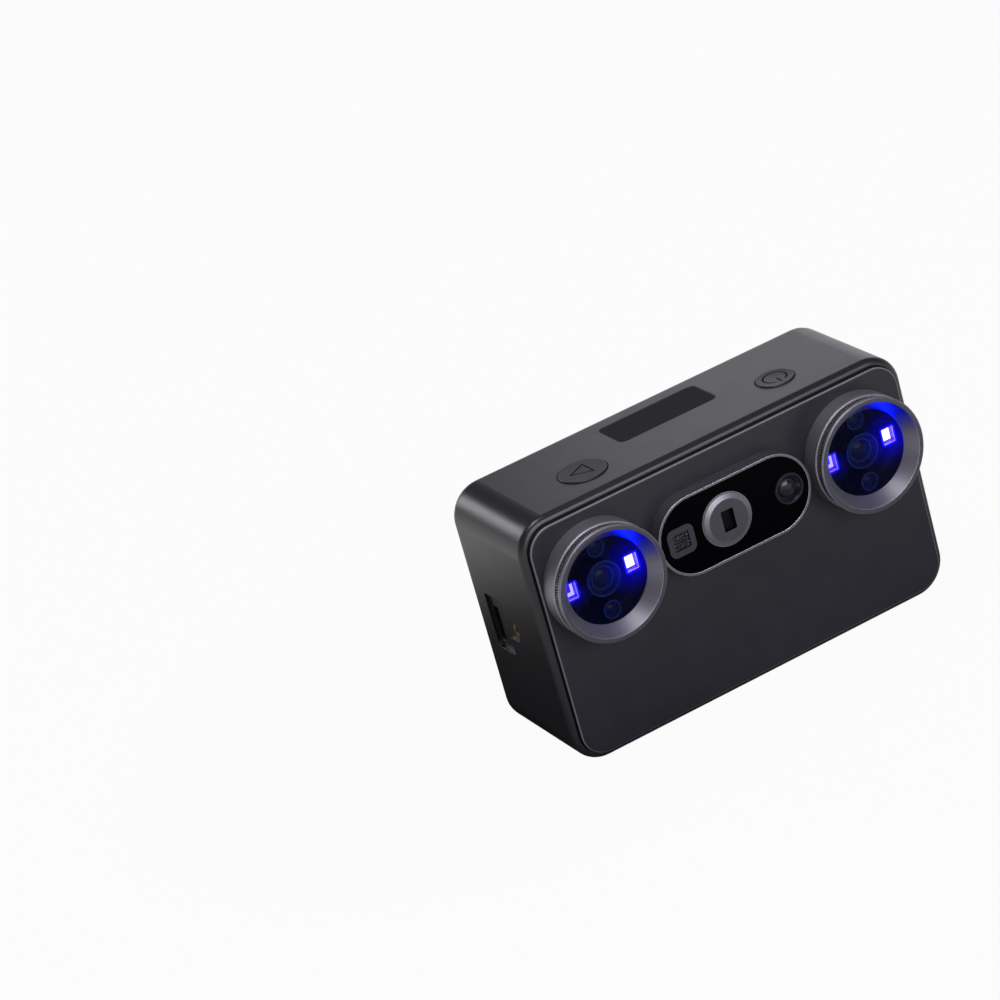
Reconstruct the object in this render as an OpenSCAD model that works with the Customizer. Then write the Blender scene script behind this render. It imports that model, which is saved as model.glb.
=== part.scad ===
// Handheld three-d scanner: a flat box with a screen on its back, two sensor heads and a
// projector window on its front, and a hinged battery door on one end.
// All sizes are in millimetres. The origin is the mouth of the tripod socket, +Z is up and
// the sensor heads face -Y.

/* [Body] */
// Width of the body
body_w = 166.6; // [163:0.2:200]
// Height of the body
body_h = 100; // [98:0.5:115]
// Depth of the body, front face to back face
body_d = 54.4; // [54:0.2:70]
// Radius of the four corners, seen from the front
corner_r = 13; // [12:0.5:14]
// Rounding of the front edge
front_fillet = 2.6; // [1:0.1:2.6]
// Rounding of the rear edge
rear_fillet = 4; // [2:0.1:4.2]
// Thickness of the housing's wall
wall = 3; // [2.8:0.1:3.4]

/* [Front panel and rear cover] */
// Thickness of the front panel
panel_t = 4.6; // [4.2:0.1:5]
// How far the front panel stands out of the housing
panel_proud = 2; // [1.6:0.1:2.2]
// Rounding of the front panel's edge
panel_edge = 0.8; // [0.3:0.1:1]
// Distance from the body's edge to the front panel's opening
panel_inset = 2.6; // [2.6:0.1:3.4]
// Thickness of the rear cover
cover_t = 3; // [2.6:0.1:3.4]
// Distance from the body's edge to the rear cover's opening
cover_inset = 4.4; // [4.3:0.1:5]
// Width of the groove round both plates
groove_w = 0.4; // [0.2:0.05:0.6]
// Rounding of the rear cover's edge
plate_edge = 0.5; // [0.2:0.1:0.8]
// Width of the ledge that carries each plate
ledge_w = 1.8; // [1.2:0.1:2.2]
// Thickness of the ledge that carries each plate
ledge_t = 1.6; // [1.2:0.1:2]

/* [Sensor heads] */
// Distance of each head's axis from the body's end
head_from_end = 26.3; // [25.8:0.1:27.5]
// Height of the heads and the projector window above the body's middle
head_z = 20.4; // [18:0.2:21]
// Radius of the smooth boss
boss_r = 22.3; // [21.8:0.1:22.5]
// Height of the boss above the panel
boss_h = 7.5; // [7:0.1:9.5]
// Height of the knurled ring
ring_h = 2.9; // [2:0.1:4]
// Number of teeth on the knurled ring
ring_teeth = 132; // [60:4:160]
// Depth of the ring's teeth
tooth_h = 0.6; // [0.3:0.1:0.8]
// Height of the hood's rim
rim_h = 1.5; // [1:0.1:2.5]
// Inner radius of the hood at its rim
hood_r = 20.4; // [20:0.1:20.6]
// Radius of the window that shows in the hood
window_r = 16.5; // [15.5:0.1:16.8]
// Depth of the window below the rim
window_depth = 5; // [4:0.1:5.6]
// Thickness of the window
window_t = 1.5; // [1:0.1:2]
// Radius of the tube that passes through the front panel
neck_r = 20; // [19.6:0.1:20.2]
// Radius of the middle camera lens
camera_r = 7; // [5:0.1:8]
// Radius of the two small lenses
small_lens_r = 3.7; // [2.5:0.1:4]
// Distance of the small lenses from the head's axis
small_lens_off = 12.7; // [12:0.1:13.5]
// Width of a light package
light_w = 6.4; // [4:0.1:6.6]
// Height of a light package
light_h = 7.8; // [5:0.1:8]
// Distance of the light packages from the head's axis
light_off = 13; // [11.5:0.1:13.4]
// Depth of the light packages behind the fronts of the lenses
light_depth = 2; // [1:0.1:3]

/* [Projector window] */
// Length of the oblong bezel, as a share of the space between the heads
module_fill = 0.95; // [0.92:0.005:0.955]
// Height of the oblong bezel
module_h = 31.5; // [29:0.1:32]
// Distance of the bezel's middle from the front's middle
module_x = -0.6; // [-0.8:0.1:0.8]
// Height of the bezel's middle above the heads' axes
module_rise = 0.3; // [0:0.1:0.6]
// Height of the bezel above the panel
module_out = 6; // [5:0.1:7.5]
// Width of the bezel's bright rim
bezel_w = 0.9; // [0.7:0.1:1.4]
// Thickness of the black window plate
module_window_t = 1.6; // [1:0.1:2]
// Distance of the square dot projector's middle from the bezel's end
dot_from_end = 9.5; // [8.5:0.1:10]
// Side of the square dot projector
dot_s = 11.3; // [9:0.1:11.6]
// Corner radius of the square dot projector
dot_corner_r = 2.8; // [1:0.1:3.5]
// Place of the round projector between its neighbours, as a share of the free space
laser_place = 0.25; // [0.2:0.01:0.8]
// Radius of the round projector
laser_r = 10.5; // [9:0.1:10.8]
// Distance of the small camera's middle from the bezel's other end
colour_from_end = 9.2; // [8:0.1:11]
// Radius of the small camera
colour_r = 6.1; // [4.5:0.1:6.4]

/* [Top buttons and vent] */
// Distance of each button's middle from the body's end
button_from_end = 40.8; // [39.3:0.1:43.3]
// Distance of the buttons from the front face
button_from_front = 19.5; // [19:0.1:22]
// Diameter of the scan button
scan_d = 18.8; // [16:0.1:20]
// Diameter of the power button
power_d = 15; // [12:0.1:20]
// Height of the buttons above the top face
button_proud = 0.5; // [0.2:0.1:1]
// Travel of the buttons
button_travel = 0.5; // [0.3:0.1:0.8]
// Depth of the symbols cut into the buttons
symbol_depth = 0.35; // [0.2:0.05:0.5]
// Width of the lines of the symbols
symbol_line = 0.7; // [0.4:0.1:0.9]
// Length of the top vent
vent_l = 43.2; // [36:0.2:44]
// Depth of the top vent, front to back
vent_d = 19; // [16:0.2:19.2]
// Distance of the vent's middle from the back face
vent_from_rear = 18.7; // [18.3:0.1:19]
// Corner radius of the vent
vent_r = 3; // [2:0.1:4]
// Thickness of the vent insert
vent_t = 1.4; // [1:0.1:1.8]
// Spacing of the vent's holes
vent_pitch = 1.9; // [1.7:0.1:3]
// Radius of the vent's holes
vent_hole_r = 0.6; // [0.4:0.05:0.7]

/* [Switch end] */
// Length of the inset switch panel, front to back
switch_panel_l = 34.4; // [30:0.2:35]
// Height of the inset switch panel
switch_panel_h = 22.6; // [20:0.2:23]
// Distance of the panel's front edge from the front face
switch_panel_from_front = 2.9; // [2.8:0.1:4]
// Height of the panel's middle above the body's middle
switch_panel_z = 24.4; // [22:0.1:25]
// Thickness of the switch panel
switch_panel_t = 1.1; // [0.8:0.1:1.4]
// Length of the switch window, front to back
switch_w = 9.8; // [8:0.1:10.5]
// Height of the switch window
switch_h = 6.2; // [5.4:0.1:7]
// Distance of the switch window's middle from the front face
switch_from_front = 21.8; // [20:0.1:24]
// Travel of the switch knob
switch_travel = 2.8; // [1.5:0.1:3]
// Radius of the small hole beside the switch panel
pinhole_r = 0.7; // [0.4:0.1:1]

/* [Battery door] */
// Height of the door above the bottom face
door_h = 52.4; // [50:0.2:54]
// Length of the door, front to back
door_l = 35.6; // [34:0.2:36]
// Distance of the door's front edge from the front face
door_from_front = 3; // [2.8:0.1:3.6]
// Thickness of the door
door_t = 2; // [1.6:0.1:2.2]
// Radius of the door's upper corners
door_r = 4.5; // [3:0.1:6]
// Place of the hinge on the lower corner, in degrees below the end face
hinge_angle = 51; // [48:1:54]
// End of the slot beside the hinge, in degrees below the end face
slot_angle = 69; // [66:1:72]
// Radius of the hinge barrel
barrel_r = 1.6; // [1.4:0.05:1.8]
// Radius of the hinge pin
pin_r = 0.75; // [0.5:0.05:0.9]
// Length of the pin held in the housing at each end
pin_grip = 1.7; // [1:0.1:1.9]
// Length of the latch window in the door, front to back
latch_w = 11.2; // [9:0.1:12]
// Height of the latch window in the door
latch_h = 10; // [9:0.1:11]
// Height of the latch window's middle above the bottom face
latch_z = 41; // [39:0.1:42]
// Travel of the latch
latch_travel = 2.5; // [2:0.1:3]

/* [Underside] */
// Distance of the tripod socket in front of the body's middle
tripod_ahead = 5.9; // [4:0.1:7]
// Radius of the tripod socket's flange
tripod_flange_r = 6.95; // [6:0.05:7.5]
// Radius of the tripod socket's thread
tripod_thread_r = 3.175; // [3:0.005:3.5]
// Depth of the tripod socket's thread
tripod_thread_l = 9; // [7:0.1:10]
// Radius of the opening in the bottom plate round the tripod socket
tripod_rim_r = 9.05; // [8:0.05:10]
// Thickness of the plates set into the underside
under_plate_t = 1.5; // [1.2:0.1:1.7]
// Corner radius of the plates set into the underside
under_plate_r = 2; // [1:0.1:3]
// Distance of the underside's plates from the front and back faces
under_margin = 9.2; // [8.5:0.1:11]
// Distance of the underside's outer plates from the end faces
under_from_end = 15.6; // [14.5:0.1:18]
// Length of the grille plate
grille_l = 22.6; // [20:0.1:24]
// Space between the bottom plate and the grille plate
grille_space = 3.3; // [2:0.1:4]
// Length of the small end plate
end_plate_l = 18.1; // [14:0.1:20]
// Space between the grille plate and the end plate
end_plate_space = 4.7; // [3:0.1:6]
// Border of the grille's perforated patches
patch_margin = 2.4; // [2:0.1:3]
// Depth of the speaker's patch, front to back
speaker_patch_d = 8.8; // [7:0.1:10]
// Radius of the case screws' heads
screw_head_r = 1.9; // [1.6:0.1:2]
// Radius of the case screws' shanks
screw_r = 1; // [0.8:0.1:1.2]
// Distance of the case screws from the body's end faces
screw_from_end = 15; // [15:0.1:16]
// Distance of the case screws from the front and back faces
screw_from_face = 6; // [5.8:0.1:6.4]
// Spacing of the grille's holes
grille_pitch = 1.7; // [1.5:0.1:2.4]
// Radius of the grille's holes
grille_hole_r = 0.5; // [0.35:0.05:0.6]

/* [Connector end] */
// Distance of the connector recess's middle from the back face
recess_from_rear = 18; // [17:0.1:18.5]
// Length of the connector recess, front to back
recess_l = 13.6; // [12.4:0.1:14]
// Height of the connector recess
recess_h = 22.4; // [19:0.1:23]
// Depth of the connector recess
recess_depth = 1.3; // [1.2:0.1:2.4]
// Depth of the lobe round the lock insert
lobe_depth = 1; // [0.6:0.1:1.4]
// Radius of the lobe round the lock insert
lobe_r = 4; // [3.2:0.1:4.6]
// Width of the socket's shell
socket_w = 5.6; // [4.6:0.1:5.8]
// Height of the socket's shell
socket_h = 15; // [13:0.1:16]
// Thickness of the socket's shell
socket_wall = 0.6; // [0.4:0.05:0.9]
// Radius of the lock insert
insert_r = 2.25; // [2:0.05:2.6]
// Radius of the lock insert's thread
insert_thread_r = 1; // [0.8:0.05:1.3]
// Length of the lock insert
insert_l = 5; // [4:0.1:5.4]
// Length of the strap slot's plug, front to back
strap_l = 17; // [14:0.2:18]
// Distance of the strap slot's middle in front of the body's middle
strap_ahead = 7.4; // [5:0.1:9]

/* [Screen] */
// Distance of the glass's ends from the body's ends
glass_from_end = 17.2; // [15.5:0.1:20]
// Height of the glass
glass_h = 74.4; // [70:0.2:78]
// Thickness of the glass
glass_t = 1.2; // [0.8:0.1:1.4]
// Corner radius of the glass
glass_r = 3; // [2:0.1:5]
// Height of the screen's middle above the body's middle
screen_z = 2.2; // [0:0.1:3]
// Sideways place of the glass
glass_x = -1.2; // [-2:0.1:2]
// Width of the glass's border beside the display panel
lcd_border = 5.6; // [5.1:0.1:9]
// Height of the display panel
lcd_h = 68; // [64:0.5:69]
// Thickness of the display panel
lcd_t = 2.5; // [2:0.1:3.2]

/* [Inside] */
// Length of the posts between the front panel and the optical bench
post_h = 2.4; // [2:0.1:3]
// Thickness of the optical bench
bench_t = 3; // [2:0.1:3.6]
// Thickness of the circuit boards
board_t = 1.6; // [1:0.1:2]
// Length of the battery
battery_l = 55.5; // [48:0.5:57]
// Thickness of the battery, front to back
battery_d = 26.5; // [22:0.5:27]
// Height of the battery
battery_h = 38.5; // [34:0.5:39]
// Space between the battery and the main board
board_space = 3; // [2:0.1:4]
// Side of the fan's frame
fan_s = 25; // [22:0.5:26]
// Height of the fan's frame
fan_h = 7; // [6:0.1:8]

/* [Clearances] */
// Gap round a plate set into the casing
seat_gap = 0.15; // [0.05:0.05:0.25]
// Gap round a push button
button_gap = 0.35; // [0.2:0.05:0.5]
// Radial running clearance of the hinge pin and the fan's shaft
run_gap = 0.04; // [0.02:0.01:0.08]
// Clearance of the sliding knob and latch
slide_gap = 0.2; // [0.1:0.05:0.3]
// Clearance of turned pieces that plug into each other
plug_gap = 0.1; // [0.05:0.05:0.2]
// Gap round the battery door
door_gap = 0.25; // [0.15:0.05:0.35]

/* [Hidden] */
$fn = 96;
// Overlap that joins a cut or a boss to its neighbour
eps = 0.5;

// Faces of the body, measured from its middle
front_y = -body_d/2;
rear_y = body_d/2;
top_z = body_h/2;
end_x = body_w/2;

// Layers behind the front panel and ahead of the rear cover
panel_front = front_y - panel_proud;
panel_back = panel_front + panel_t;
cavity_front = panel_back + ledge_t;
bench_front = panel_back + post_h;
bench_back = bench_front + bench_t;
cover_front = rear_y - cover_t;
cavity_back = cover_front - ledge_t;
neck_l = bench_front - panel_front;
panel_open = panel_inset + ledge_w;
cover_open = cover_inset + ledge_w;

// Sensor heads, measured out from the front panel along the head's axis
rim_out = boss_h + ring_h + rim_h;
window_out = rim_out - window_depth;
bore_r = neck_r - 1.4;
hood_plug_r = bore_r - plug_gap;
window_seat_r = window_r + 1;
skirt_r = boss_r - 1.6;
ring_inner_r = skirt_r + plug_gap;
ring_outer_r = boss_r - 0.6;
board_out = board_t - neck_l;
lens_out = window_out - window_t - 0.8;
light_out = lens_out - light_depth;

// Projector window, measured the same way
head_x = end_x - head_from_end;
module_l = module_fill*2*(head_x - boss_r);
dot_x = dot_from_end - module_l/2;
colour_x = module_l/2 - colour_from_end;
laser_free = colour_x - colour_r - dot_x - dot_s/2 - 2*laser_r;
laser_x = dot_x + dot_s/2 + laser_place*laser_free + laser_r;
module_seat = module_out - 0.2 - module_window_t;
module_neck = 2 + plug_gap;
module_neck_wall = 1.2;
module_floor = 1.2;
module_foot = module_floor + 0.3;
bezel_ledge = bezel_w + 1;

// Bench posts, kept between the heads and the projector window
post_r = 2.6;
bench_w = 2*(end_x - wall - 4.3);
bench_low = head_z - neck_r - 5;
bench_high = top_z - panel_open - 0.5;
post_x = module_l/2 + 0.9;
post_places = [for (x = [-post_x, post_x], z = [bench_low + 3, bench_high - post_r]) [x, z]];

// Top
button_x = end_x - button_from_end;
button_y = front_y + button_from_front;
button_flange_t = 1;
button_flange_gap = 0.1;
flange_low = top_z - wall - button_flange_gap - button_flange_t;
switch_height = 2.6;
plunger_h = 0.6;
stem_low = flange_low - 0.5;
button_board_top = stem_low - button_travel - 0.1 - plunger_h - switch_height;
button_board_y = [button_y - 7.8, button_y + 3.5];
button_board_posts = [button_x - 18.5, button_x + 14.5];
vent_y = rear_y - vent_from_rear;
vent_ledge = 1.2;
fan_top = top_z - wall - 2;
fan_low = fan_top - fan_h;
fan_post_off = fan_s/2 - 2;
fan_bore_r = fan_s/2 - 0.7;
fan_hub_r = 5;
fan_shaft_r = 0.9;
fan_floor_t = 1.2;
fan_rotor_low = fan_low + fan_floor_t + 0.3;

// Switch end
switch_y = front_y + switch_from_front;
switch_panel_y = front_y + switch_panel_from_front + switch_panel_l/2;
pinhole_y = switch_panel_y + switch_panel_l/2 + 6.7;
pinhole_z = switch_panel_z - switch_panel_h/2 - 3.3;
wall_inner_x = end_x - wall;
knob_h = switch_h - switch_travel - 0.6;
knob_z = switch_panel_z + switch_h/2 - 0.3 - knob_h/2;
knob_foot_t = 2.6;
knob_foot_w = switch_w + 2;
knob_foot_h = knob_h + 2.6;
switch_base_t = 5;

// Battery door
corner_x = end_x - corner_r;
corner_z = corner_r - top_z;
door_z = door_h - top_z;
door_y0 = front_y + door_from_front;
door_y1 = door_y0 + door_l;
door_mid_y = (door_y0 + door_y1)/2;
door_inner_x = end_x - door_t;
door_ledge = 1.2;
hinge_x = corner_x + (corner_r - barrel_r)*cos(hinge_angle);
hinge_z = corner_z - (corner_r - barrel_r)*sin(hinge_angle);
barrel_room = 0.3;
latch_mid_z = latch_z - top_z;
latch_y = door_mid_y - 0.8;
latch_plate_t = 1.8;
latch_plate_w = latch_w + 3.2;
latch_plate_low = latch_mid_z - latch_h/2 - 2.5;
latch_plate_x = door_inner_x - slide_gap - 0.1;
latch_stop_z = door_z - door_ledge - 0.3;
latch_plate_high = latch_stop_z - latch_travel;
tongue_t = wall_inner_x - (latch_plate_x - latch_plate_t) - slide_gap - 0.1;
tongue_high = latch_stop_z;
latch_bar_h = 3.4;
rail_t = 1.5;
rail_lip = 1;

// Underside
under_z = -top_z + under_plate_t;
floor_z = -top_z + wall;
tripod_y = -tripod_ahead;
tripod_boss_r = 8;
tripod_barrel_r = 5;
tripod_l = tripod_thread_l + 3;
under_front = front_y + under_margin;
under_rear = rear_y - under_margin;
end_plate_low = [under_from_end - end_x, under_front];
end_plate_high = [end_plate_low[0] + end_plate_l, under_rear];
grille_low = [end_plate_high[0] + end_plate_space, under_front];
grille_high = [grille_low[0] + grille_l, under_rear];
bottom_plate_low = [grille_high[0] + grille_space, under_front];
bottom_plate_high = [end_x - under_from_end, under_rear];
patch_b_low = grille_low + [patch_margin, 1.5];
patch_b_high = [grille_high[0] - patch_margin, patch_b_low[1] + speaker_patch_d];
patch_a_low = [grille_low[0] + patch_margin, patch_b_high[1] + patch_margin];
patch_a_high = grille_high - [patch_margin, 1.5*patch_margin];
screw_x = end_x - screw_from_end;
screw_y = rear_y - screw_from_face;
screw_places = [for (x = [-1, 1], y = [-1, 1]) [x*screw_x, y*screw_y]];
screw_head_t = 1.1;
lug_r = 2.4;
lug_low = -top_z + max(panel_open, cover_open) + 0.2;
lug_high = lug_low + 5;
screw_end = lug_low + 3.5;

// Connector end
recess_y = rear_y - recess_from_rear;
recess_x = -end_x + recess_depth;
recess_back = 1.5;
socket_y = recess_y + 2.9;
socket_z = -1;
socket_l = 6.5;
socket_back = recess_x + socket_l;
lock_y = recess_y - 11.4;
lock_z = 0.6;
lobe_x = -end_x + lobe_depth;
lock_boss_r = insert_r + 1.8;
strap_mid_y = -strap_ahead;
strap_depth = 2;
strap_from = 14;
strap_to = 78;

// Screen
glass_w = body_w - 2*glass_from_end;
lcd_w = glass_w - 2*lcd_border;
lcd_x = glass_x + 1.5;
lcd_back = rear_y - glass_t;

// Inside
battery_right = end_x - 5.8;
battery_left = battery_right - battery_l;
battery_front = door_y0 + 6.7;
battery_back = battery_front + battery_d;
battery_low = floor_z + 8;
battery_high = battery_low + battery_h;
rib_w = 2.5;
board_front = battery_back + board_space;
board_back = board_front + board_t;
board_left = socket_back + board_t;
board_right = end_x - 11;
board_low = -top_z + 8;
board_high = fan_low - 4;
standoff_r = 2.5;
standoff_from_end = 5.3;
standoff_from_edge = 8;
standoff_x = board_right - standoff_from_end;
standoff_z = [board_low + standoff_from_edge, board_high - standoff_from_edge];
standoff_places = [for (x = [-standoff_x, standoff_x], z = standoff_z) [x, z]];
contact_w = 4;
contact_h = 20;
contact_low = battery_low + battery_h/5;
contact_front = battery_front + battery_d/4;
speaker_t = 4;
board_edge = 4;
sink_w = 32;
sink_low = 8;
sink_base_t = 2;
sink_fin_h = 7;
sink_fins = 9;
sink_fin_t = 1;

housing_grey = "#55565b";
panel_grey = "#2c2c31";
black = "#121214";
glass_black = "#0a0a12";
board_green = "#1f4d3a";
steel = "#b9bcc2";
brass = "#b08d4f";

// Moves a piece from the body's middle to the part's own frame
module place() translate([0, tripod_ahead, top_z]) children();

// Flat shapes

// Rounded rectangle centred on the origin
module rounded_rect(w, h, r) {
  square([w - 2*r, h], center = true);
  square([w, h - 2*r], center = true);
  for (x = [-1, 1], y = [-1, 1]) translate([x*(w/2 - r), y*(h/2 - r)]) circle(r);
}

// Rounded rectangle between two opposite corners
module rounded_box(low, high, r)
  translate((low + high)/2) rounded_rect(high[0] - low[0], high[1] - low[1], r);

// Outline of the body drawn in by an inset
module outline(inset) rounded_rect(body_w - 2*inset, body_h - 2*inset, corner_r - inset);

// Oblong with round ends, drawn in by an inset
module oblong(inset) {
  r = module_h/2 - inset;
  square([module_l - module_h, 2*r], center = true);
  for (x = [-1, 1]) translate([x*(module_l - module_h)/2, 0]) circle(r);
}

// Band of the end wall between two depths, from a height down round the lower corner to an angle
module corner_band(depth0, depth1, high, angle0, angle1) {
  far = 3*corner_r;
  if (angle0 == 0) translate([end_x - depth1, corner_z]) square([depth1 - depth0, high - corner_z]);
  translate([corner_x, corner_z]) intersection() {
    difference() {
      circle(corner_r - depth0);
      circle(corner_r - depth1);
    }
    polygon([
      [0, 0], [far*cos(angle0), -far*sin(angle0)], [far, -far], [far*cos(angle1), -far*sin(angle1)]
    ]);
  }
}

// Solids from flat shapes

// Shape in X and Z, solid from y0 back to y1
module along_y(y0, y1) translate([0, y1, 0]) rotate([90, 0, 0]) linear_extrude(y1 - y0) children();

// Shape in Y and Z, solid from x0 to x1
module along_x(x0, x1) translate([x0, 0, 0]) rotate([90, 0, 90]) linear_extrude(x1 - x0) children();

// Shape in X and Y, solid from z0 up to z1
module along_z(z0, z1) translate([0, 0, z0]) linear_extrude(z1 - z0) children();

// Block between two opposite corners
module block(low, high) translate(low) cube(high - low);

// Rods along each axis
module rod_x(x0, x1, y, z, r) translate([x0, y, z]) rotate([0, 90, 0]) cylinder(r = r, h = x1 - x0);
module rod_y(y0, y1, x, z, r) translate([x, y1, z]) rotate([90, 0, 0]) cylinder(r = r, h = y1 - y0);
module rod_z(z0, z1, x, y, r) translate([x, y, z0]) cylinder(r = r, h = z1 - z0);

// Cross section of a filleted edge, from the corner's centre out
module edge_profile(r, d, front_r, rear_r) {
  translate([0, front_r]) square([r, d - front_r - rear_r]);
  if (front_r > 0) {
    square([r - front_r, front_r]);
    intersection() {
      translate([r - front_r, front_r]) circle(front_r);
      square([r, d]);
    }
  }
  if (rear_r > 0) {
    translate([0, d - rear_r]) square([r - rear_r, rear_r]);
    intersection() {
      translate([r - rear_r, d - rear_r]) circle(rear_r);
      square([r, d]);
    }
  }
}

// Slab with a rounded outline and filleted front and rear edges, its front face at y = 0
module filleted_slab(w, h, r, d, front_r, rear_r) {
  translate([r - w/2, 0, r - h/2]) cube([w - 2*r, d, h - 2*r]);
  for (turn = [0:3]) {
    x = (turn == 0 || turn == 3) ? 1 : -1;
    z = (turn < 2) ? 1 : -1;
    translate([x*(w/2 - r), 0, z*(h/2 - r)]) rotate([-90, 0, 0]) rotate([0, 0, -90*turn - 90])
      rotate_extrude(angle = 90) edge_profile(r, d, front_r, rear_r);
  }
  for (turn = [0, 180]) rotate([0, turn, 0]) {
    translate([w/2 - r, 0, r - h/2]) linear_extrude(h - 2*r) edge_profile(r, d, front_r, rear_r);
    translate([r - w/2, 0, h/2 - r]) rotate([0, -90, 0]) mirror([0, 0, 1])
      linear_extrude(w - 2*r) edge_profile(r, d, front_r, rear_r);
  }
}

// Turned piece on a head's axis: the profile's y is the distance out from the front panel
module on_head(side) translate([side*head_x, panel_front, head_z]) rotate([90, 0, 0]) children();
module on_window(x) translate([module_x + x, panel_front, head_z + module_rise]) rotate([90, 0, 0])
  children();

// Lens barrel of a radius between two heights, with a conical mouth and a domed glass
module lens_barrel(r, low, high) {
  glass_rim = 0.58*r;
  mouth = 0.28*r;
  dome_r = 1.6*glass_rim;
  rotate_extrude() polygon([
    [0, low], [r, low], [r, high - 0.3], [r - 0.3, high], [0.86*r, high],
    [glass_rim, high - mouth], [0, high - mouth]
  ]);
  intersection() {
    translate([0, 0, high - mouth - sqrt(pow(dome_r, 2) - pow(glass_rim, 2))]) sphere(dome_r);
    translate([0, 0, high - mouth - 0.1]) cylinder(r = glass_rim, h = dome_r);
  }
}

// Rows of round holes inside a rectangle, every second row shifted by half a step
module hole_rows(low, high, pitch, r) {
  columns = floor((high[0] - low[0] - 2*r)/pitch);
  rows = floor((high[1] - low[1] - 2*r)/pitch);
  first = [(low[0] + high[0] - columns*pitch)/2, (low[1] + high[1] - rows*pitch)/2];
  for (i = [0:columns], j = [0:rows])
    if (j % 2 == 0 || i < columns) translate(first + [(i + (j % 2)/2)*pitch, j*pitch]) circle(r, $fn = 24);
}

// Casing

module casing_hollow() {
  along_y(front_y - 1, panel_back) outline(panel_inset);
  along_y(panel_back - eps, cavity_front + eps) outline(panel_open);
  along_y(cavity_front, cavity_back) outline(wall);
  along_y(cavity_back - eps, cover_front + eps) outline(cover_open);
  along_y(cover_front, rear_y + 1) outline(cover_inset);
}

module casing_bosses() {
  roof = top_z - wall + eps;
  ground = floor_z - eps;
  for (x = [-1, 1], y = [-1, 1]) rod_z(fan_top, roof, x*fan_post_off, vent_y + y*fan_post_off, 1.6);
  for (side = [-1, 1], x = button_board_posts)
    rod_z(button_board_top, roof, side*x, (button_board_y[0] + button_board_y[1])/2, 2);
  for (y = [battery_front, battery_back - rib_w])
    block([battery_left + 2, y, ground], [corner_x - 4, y + rib_w, battery_low]);
  rod_z(ground, floor_z + 5, 0, tripod_y, tripod_boss_r);
  for (p = screw_places) rod_z(ground, lug_low, p[0], p[1], lug_r);
  block(
    [-wall_inner_x - eps, recess_y - recess_l/2 - recess_back, -recess_h/2 - recess_back],
    [-wall_inner_x + recess_back, recess_y + recess_l/2 + recess_back, recess_h/2 + recess_back]
  );
  rod_x(-wall_inner_x - eps, lobe_x + insert_l, lock_y, lock_z, lock_boss_r);
}

module top_cuts() {
  rod_z(top_z - wall - 1, top_z + 1, -button_x, button_y, scan_d/2 + button_gap);
  rod_z(top_z - wall - 1, top_z + 1, button_x, button_y, power_d/2 + button_gap);
  translate([0, vent_y, 0]) {
    along_z(top_z - vent_t - 0.1, top_z + 1) rounded_rect(vent_l, vent_d, vent_r);
    along_z(top_z - wall - 1, top_z)
      rounded_rect(vent_l - 2*vent_ledge, vent_d - 2*vent_ledge, vent_r - vent_ledge);
  }
}

module switch_cuts() {
  along_x(end_x - switch_panel_t, end_x + 1) translate([switch_panel_y, switch_panel_z])
    rounded_rect(switch_panel_l, switch_panel_h, 4);
  along_x(wall_inner_x - 1, end_x) translate([switch_y, switch_panel_z]) rounded_rect(switch_w, switch_h, 1);
  rod_x(end_x - 2, end_x + 1, pinhole_y, pinhole_z, pinhole_r);
}

module door_cuts() {
  intersection() {
    along_y(door_y0 - door_gap, door_y1 + door_gap)
      corner_band(-1, door_t + 0.1, door_z + door_gap, 0, slot_angle);
    along_x(0, end_x + 2)
      rounded_box([door_y0 - door_gap, -body_h], [door_y1 + door_gap, door_z + door_gap], door_r + door_gap);
  }
  along_y(door_y0 + door_ledge, door_y1 - door_ledge)
    corner_band(1, wall + 1, door_z - door_ledge, 0, slot_angle);
  rod_y(door_y0 - door_gap, door_y1 + door_gap, hinge_x, hinge_z, barrel_r + barrel_room);
  rod_y(door_y0 - pin_grip, door_y1 + pin_grip, hinge_x, hinge_z, pin_r + 0.02);
}

module connector_cuts() {
  half = [recess_l/2, recess_h/2];
  along_x(-end_x - 1, recess_x) rounded_box([recess_y, 0] - half, [recess_y, 0] + half, 1.5);
  along_x(-end_x - 1, lobe_x) {
    translate([lock_y, lock_z]) circle(lobe_r);
    translate([lock_y, lock_z - lobe_r]) square([recess_y - lock_y, 2*lobe_r]);
  }
  along_x(recess_x - 1, -wall_inner_x + recess_back + 1)
    translate([socket_y, socket_z]) rounded_rect(socket_w + 2*plug_gap, socket_h + 2*plug_gap, 1);
  rod_x(lobe_x - 1, lobe_x + insert_l + 1, lock_y, lock_z, insert_r + 0.02);
  mirror([1, 0, 0]) along_y(strap_mid_y - strap_l/2, strap_mid_y + strap_l/2)
    corner_band(-1, strap_depth, 0, strap_from, strap_to);
}

module bottom_cuts() {
  along_z(-top_z - 1, under_z) {
    rounded_box(bottom_plate_low, bottom_plate_high, under_plate_r);
    rounded_box(end_plate_low, end_plate_high, under_plate_r);
    rounded_box(grille_low, grille_high, under_plate_r + 1);
  }
  along_z(-top_z - 1, floor_z + 1) {
    rounded_box(patch_a_low, patch_a_high, 1);
    rounded_box(patch_b_low, patch_b_high, 1);
  }
  rod_z(-top_z - 1, floor_z + 6, 0, tripod_y, tripod_barrel_r + plug_gap);
  for (p = screw_places) {
    rod_z(-top_z - 1, -top_z + screw_head_t + 0.1, p[0], p[1], screw_head_r + plug_gap);
    rod_z(-top_z - 1, lug_low + 1, p[0], p[1], screw_r + plug_gap);
  }
}

module main_housing() color(housing_grey) place() difference() {
  union() {
    difference() {
      translate([0, front_y, 0]) filleted_slab(body_w, body_h, corner_r, body_d, front_fillet, rear_fillet);
      casing_hollow();
    }
    casing_bosses();
  }
  top_cuts();
  switch_cuts();
  door_cuts();
  connector_cuts();
  bottom_cuts();
}

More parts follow.
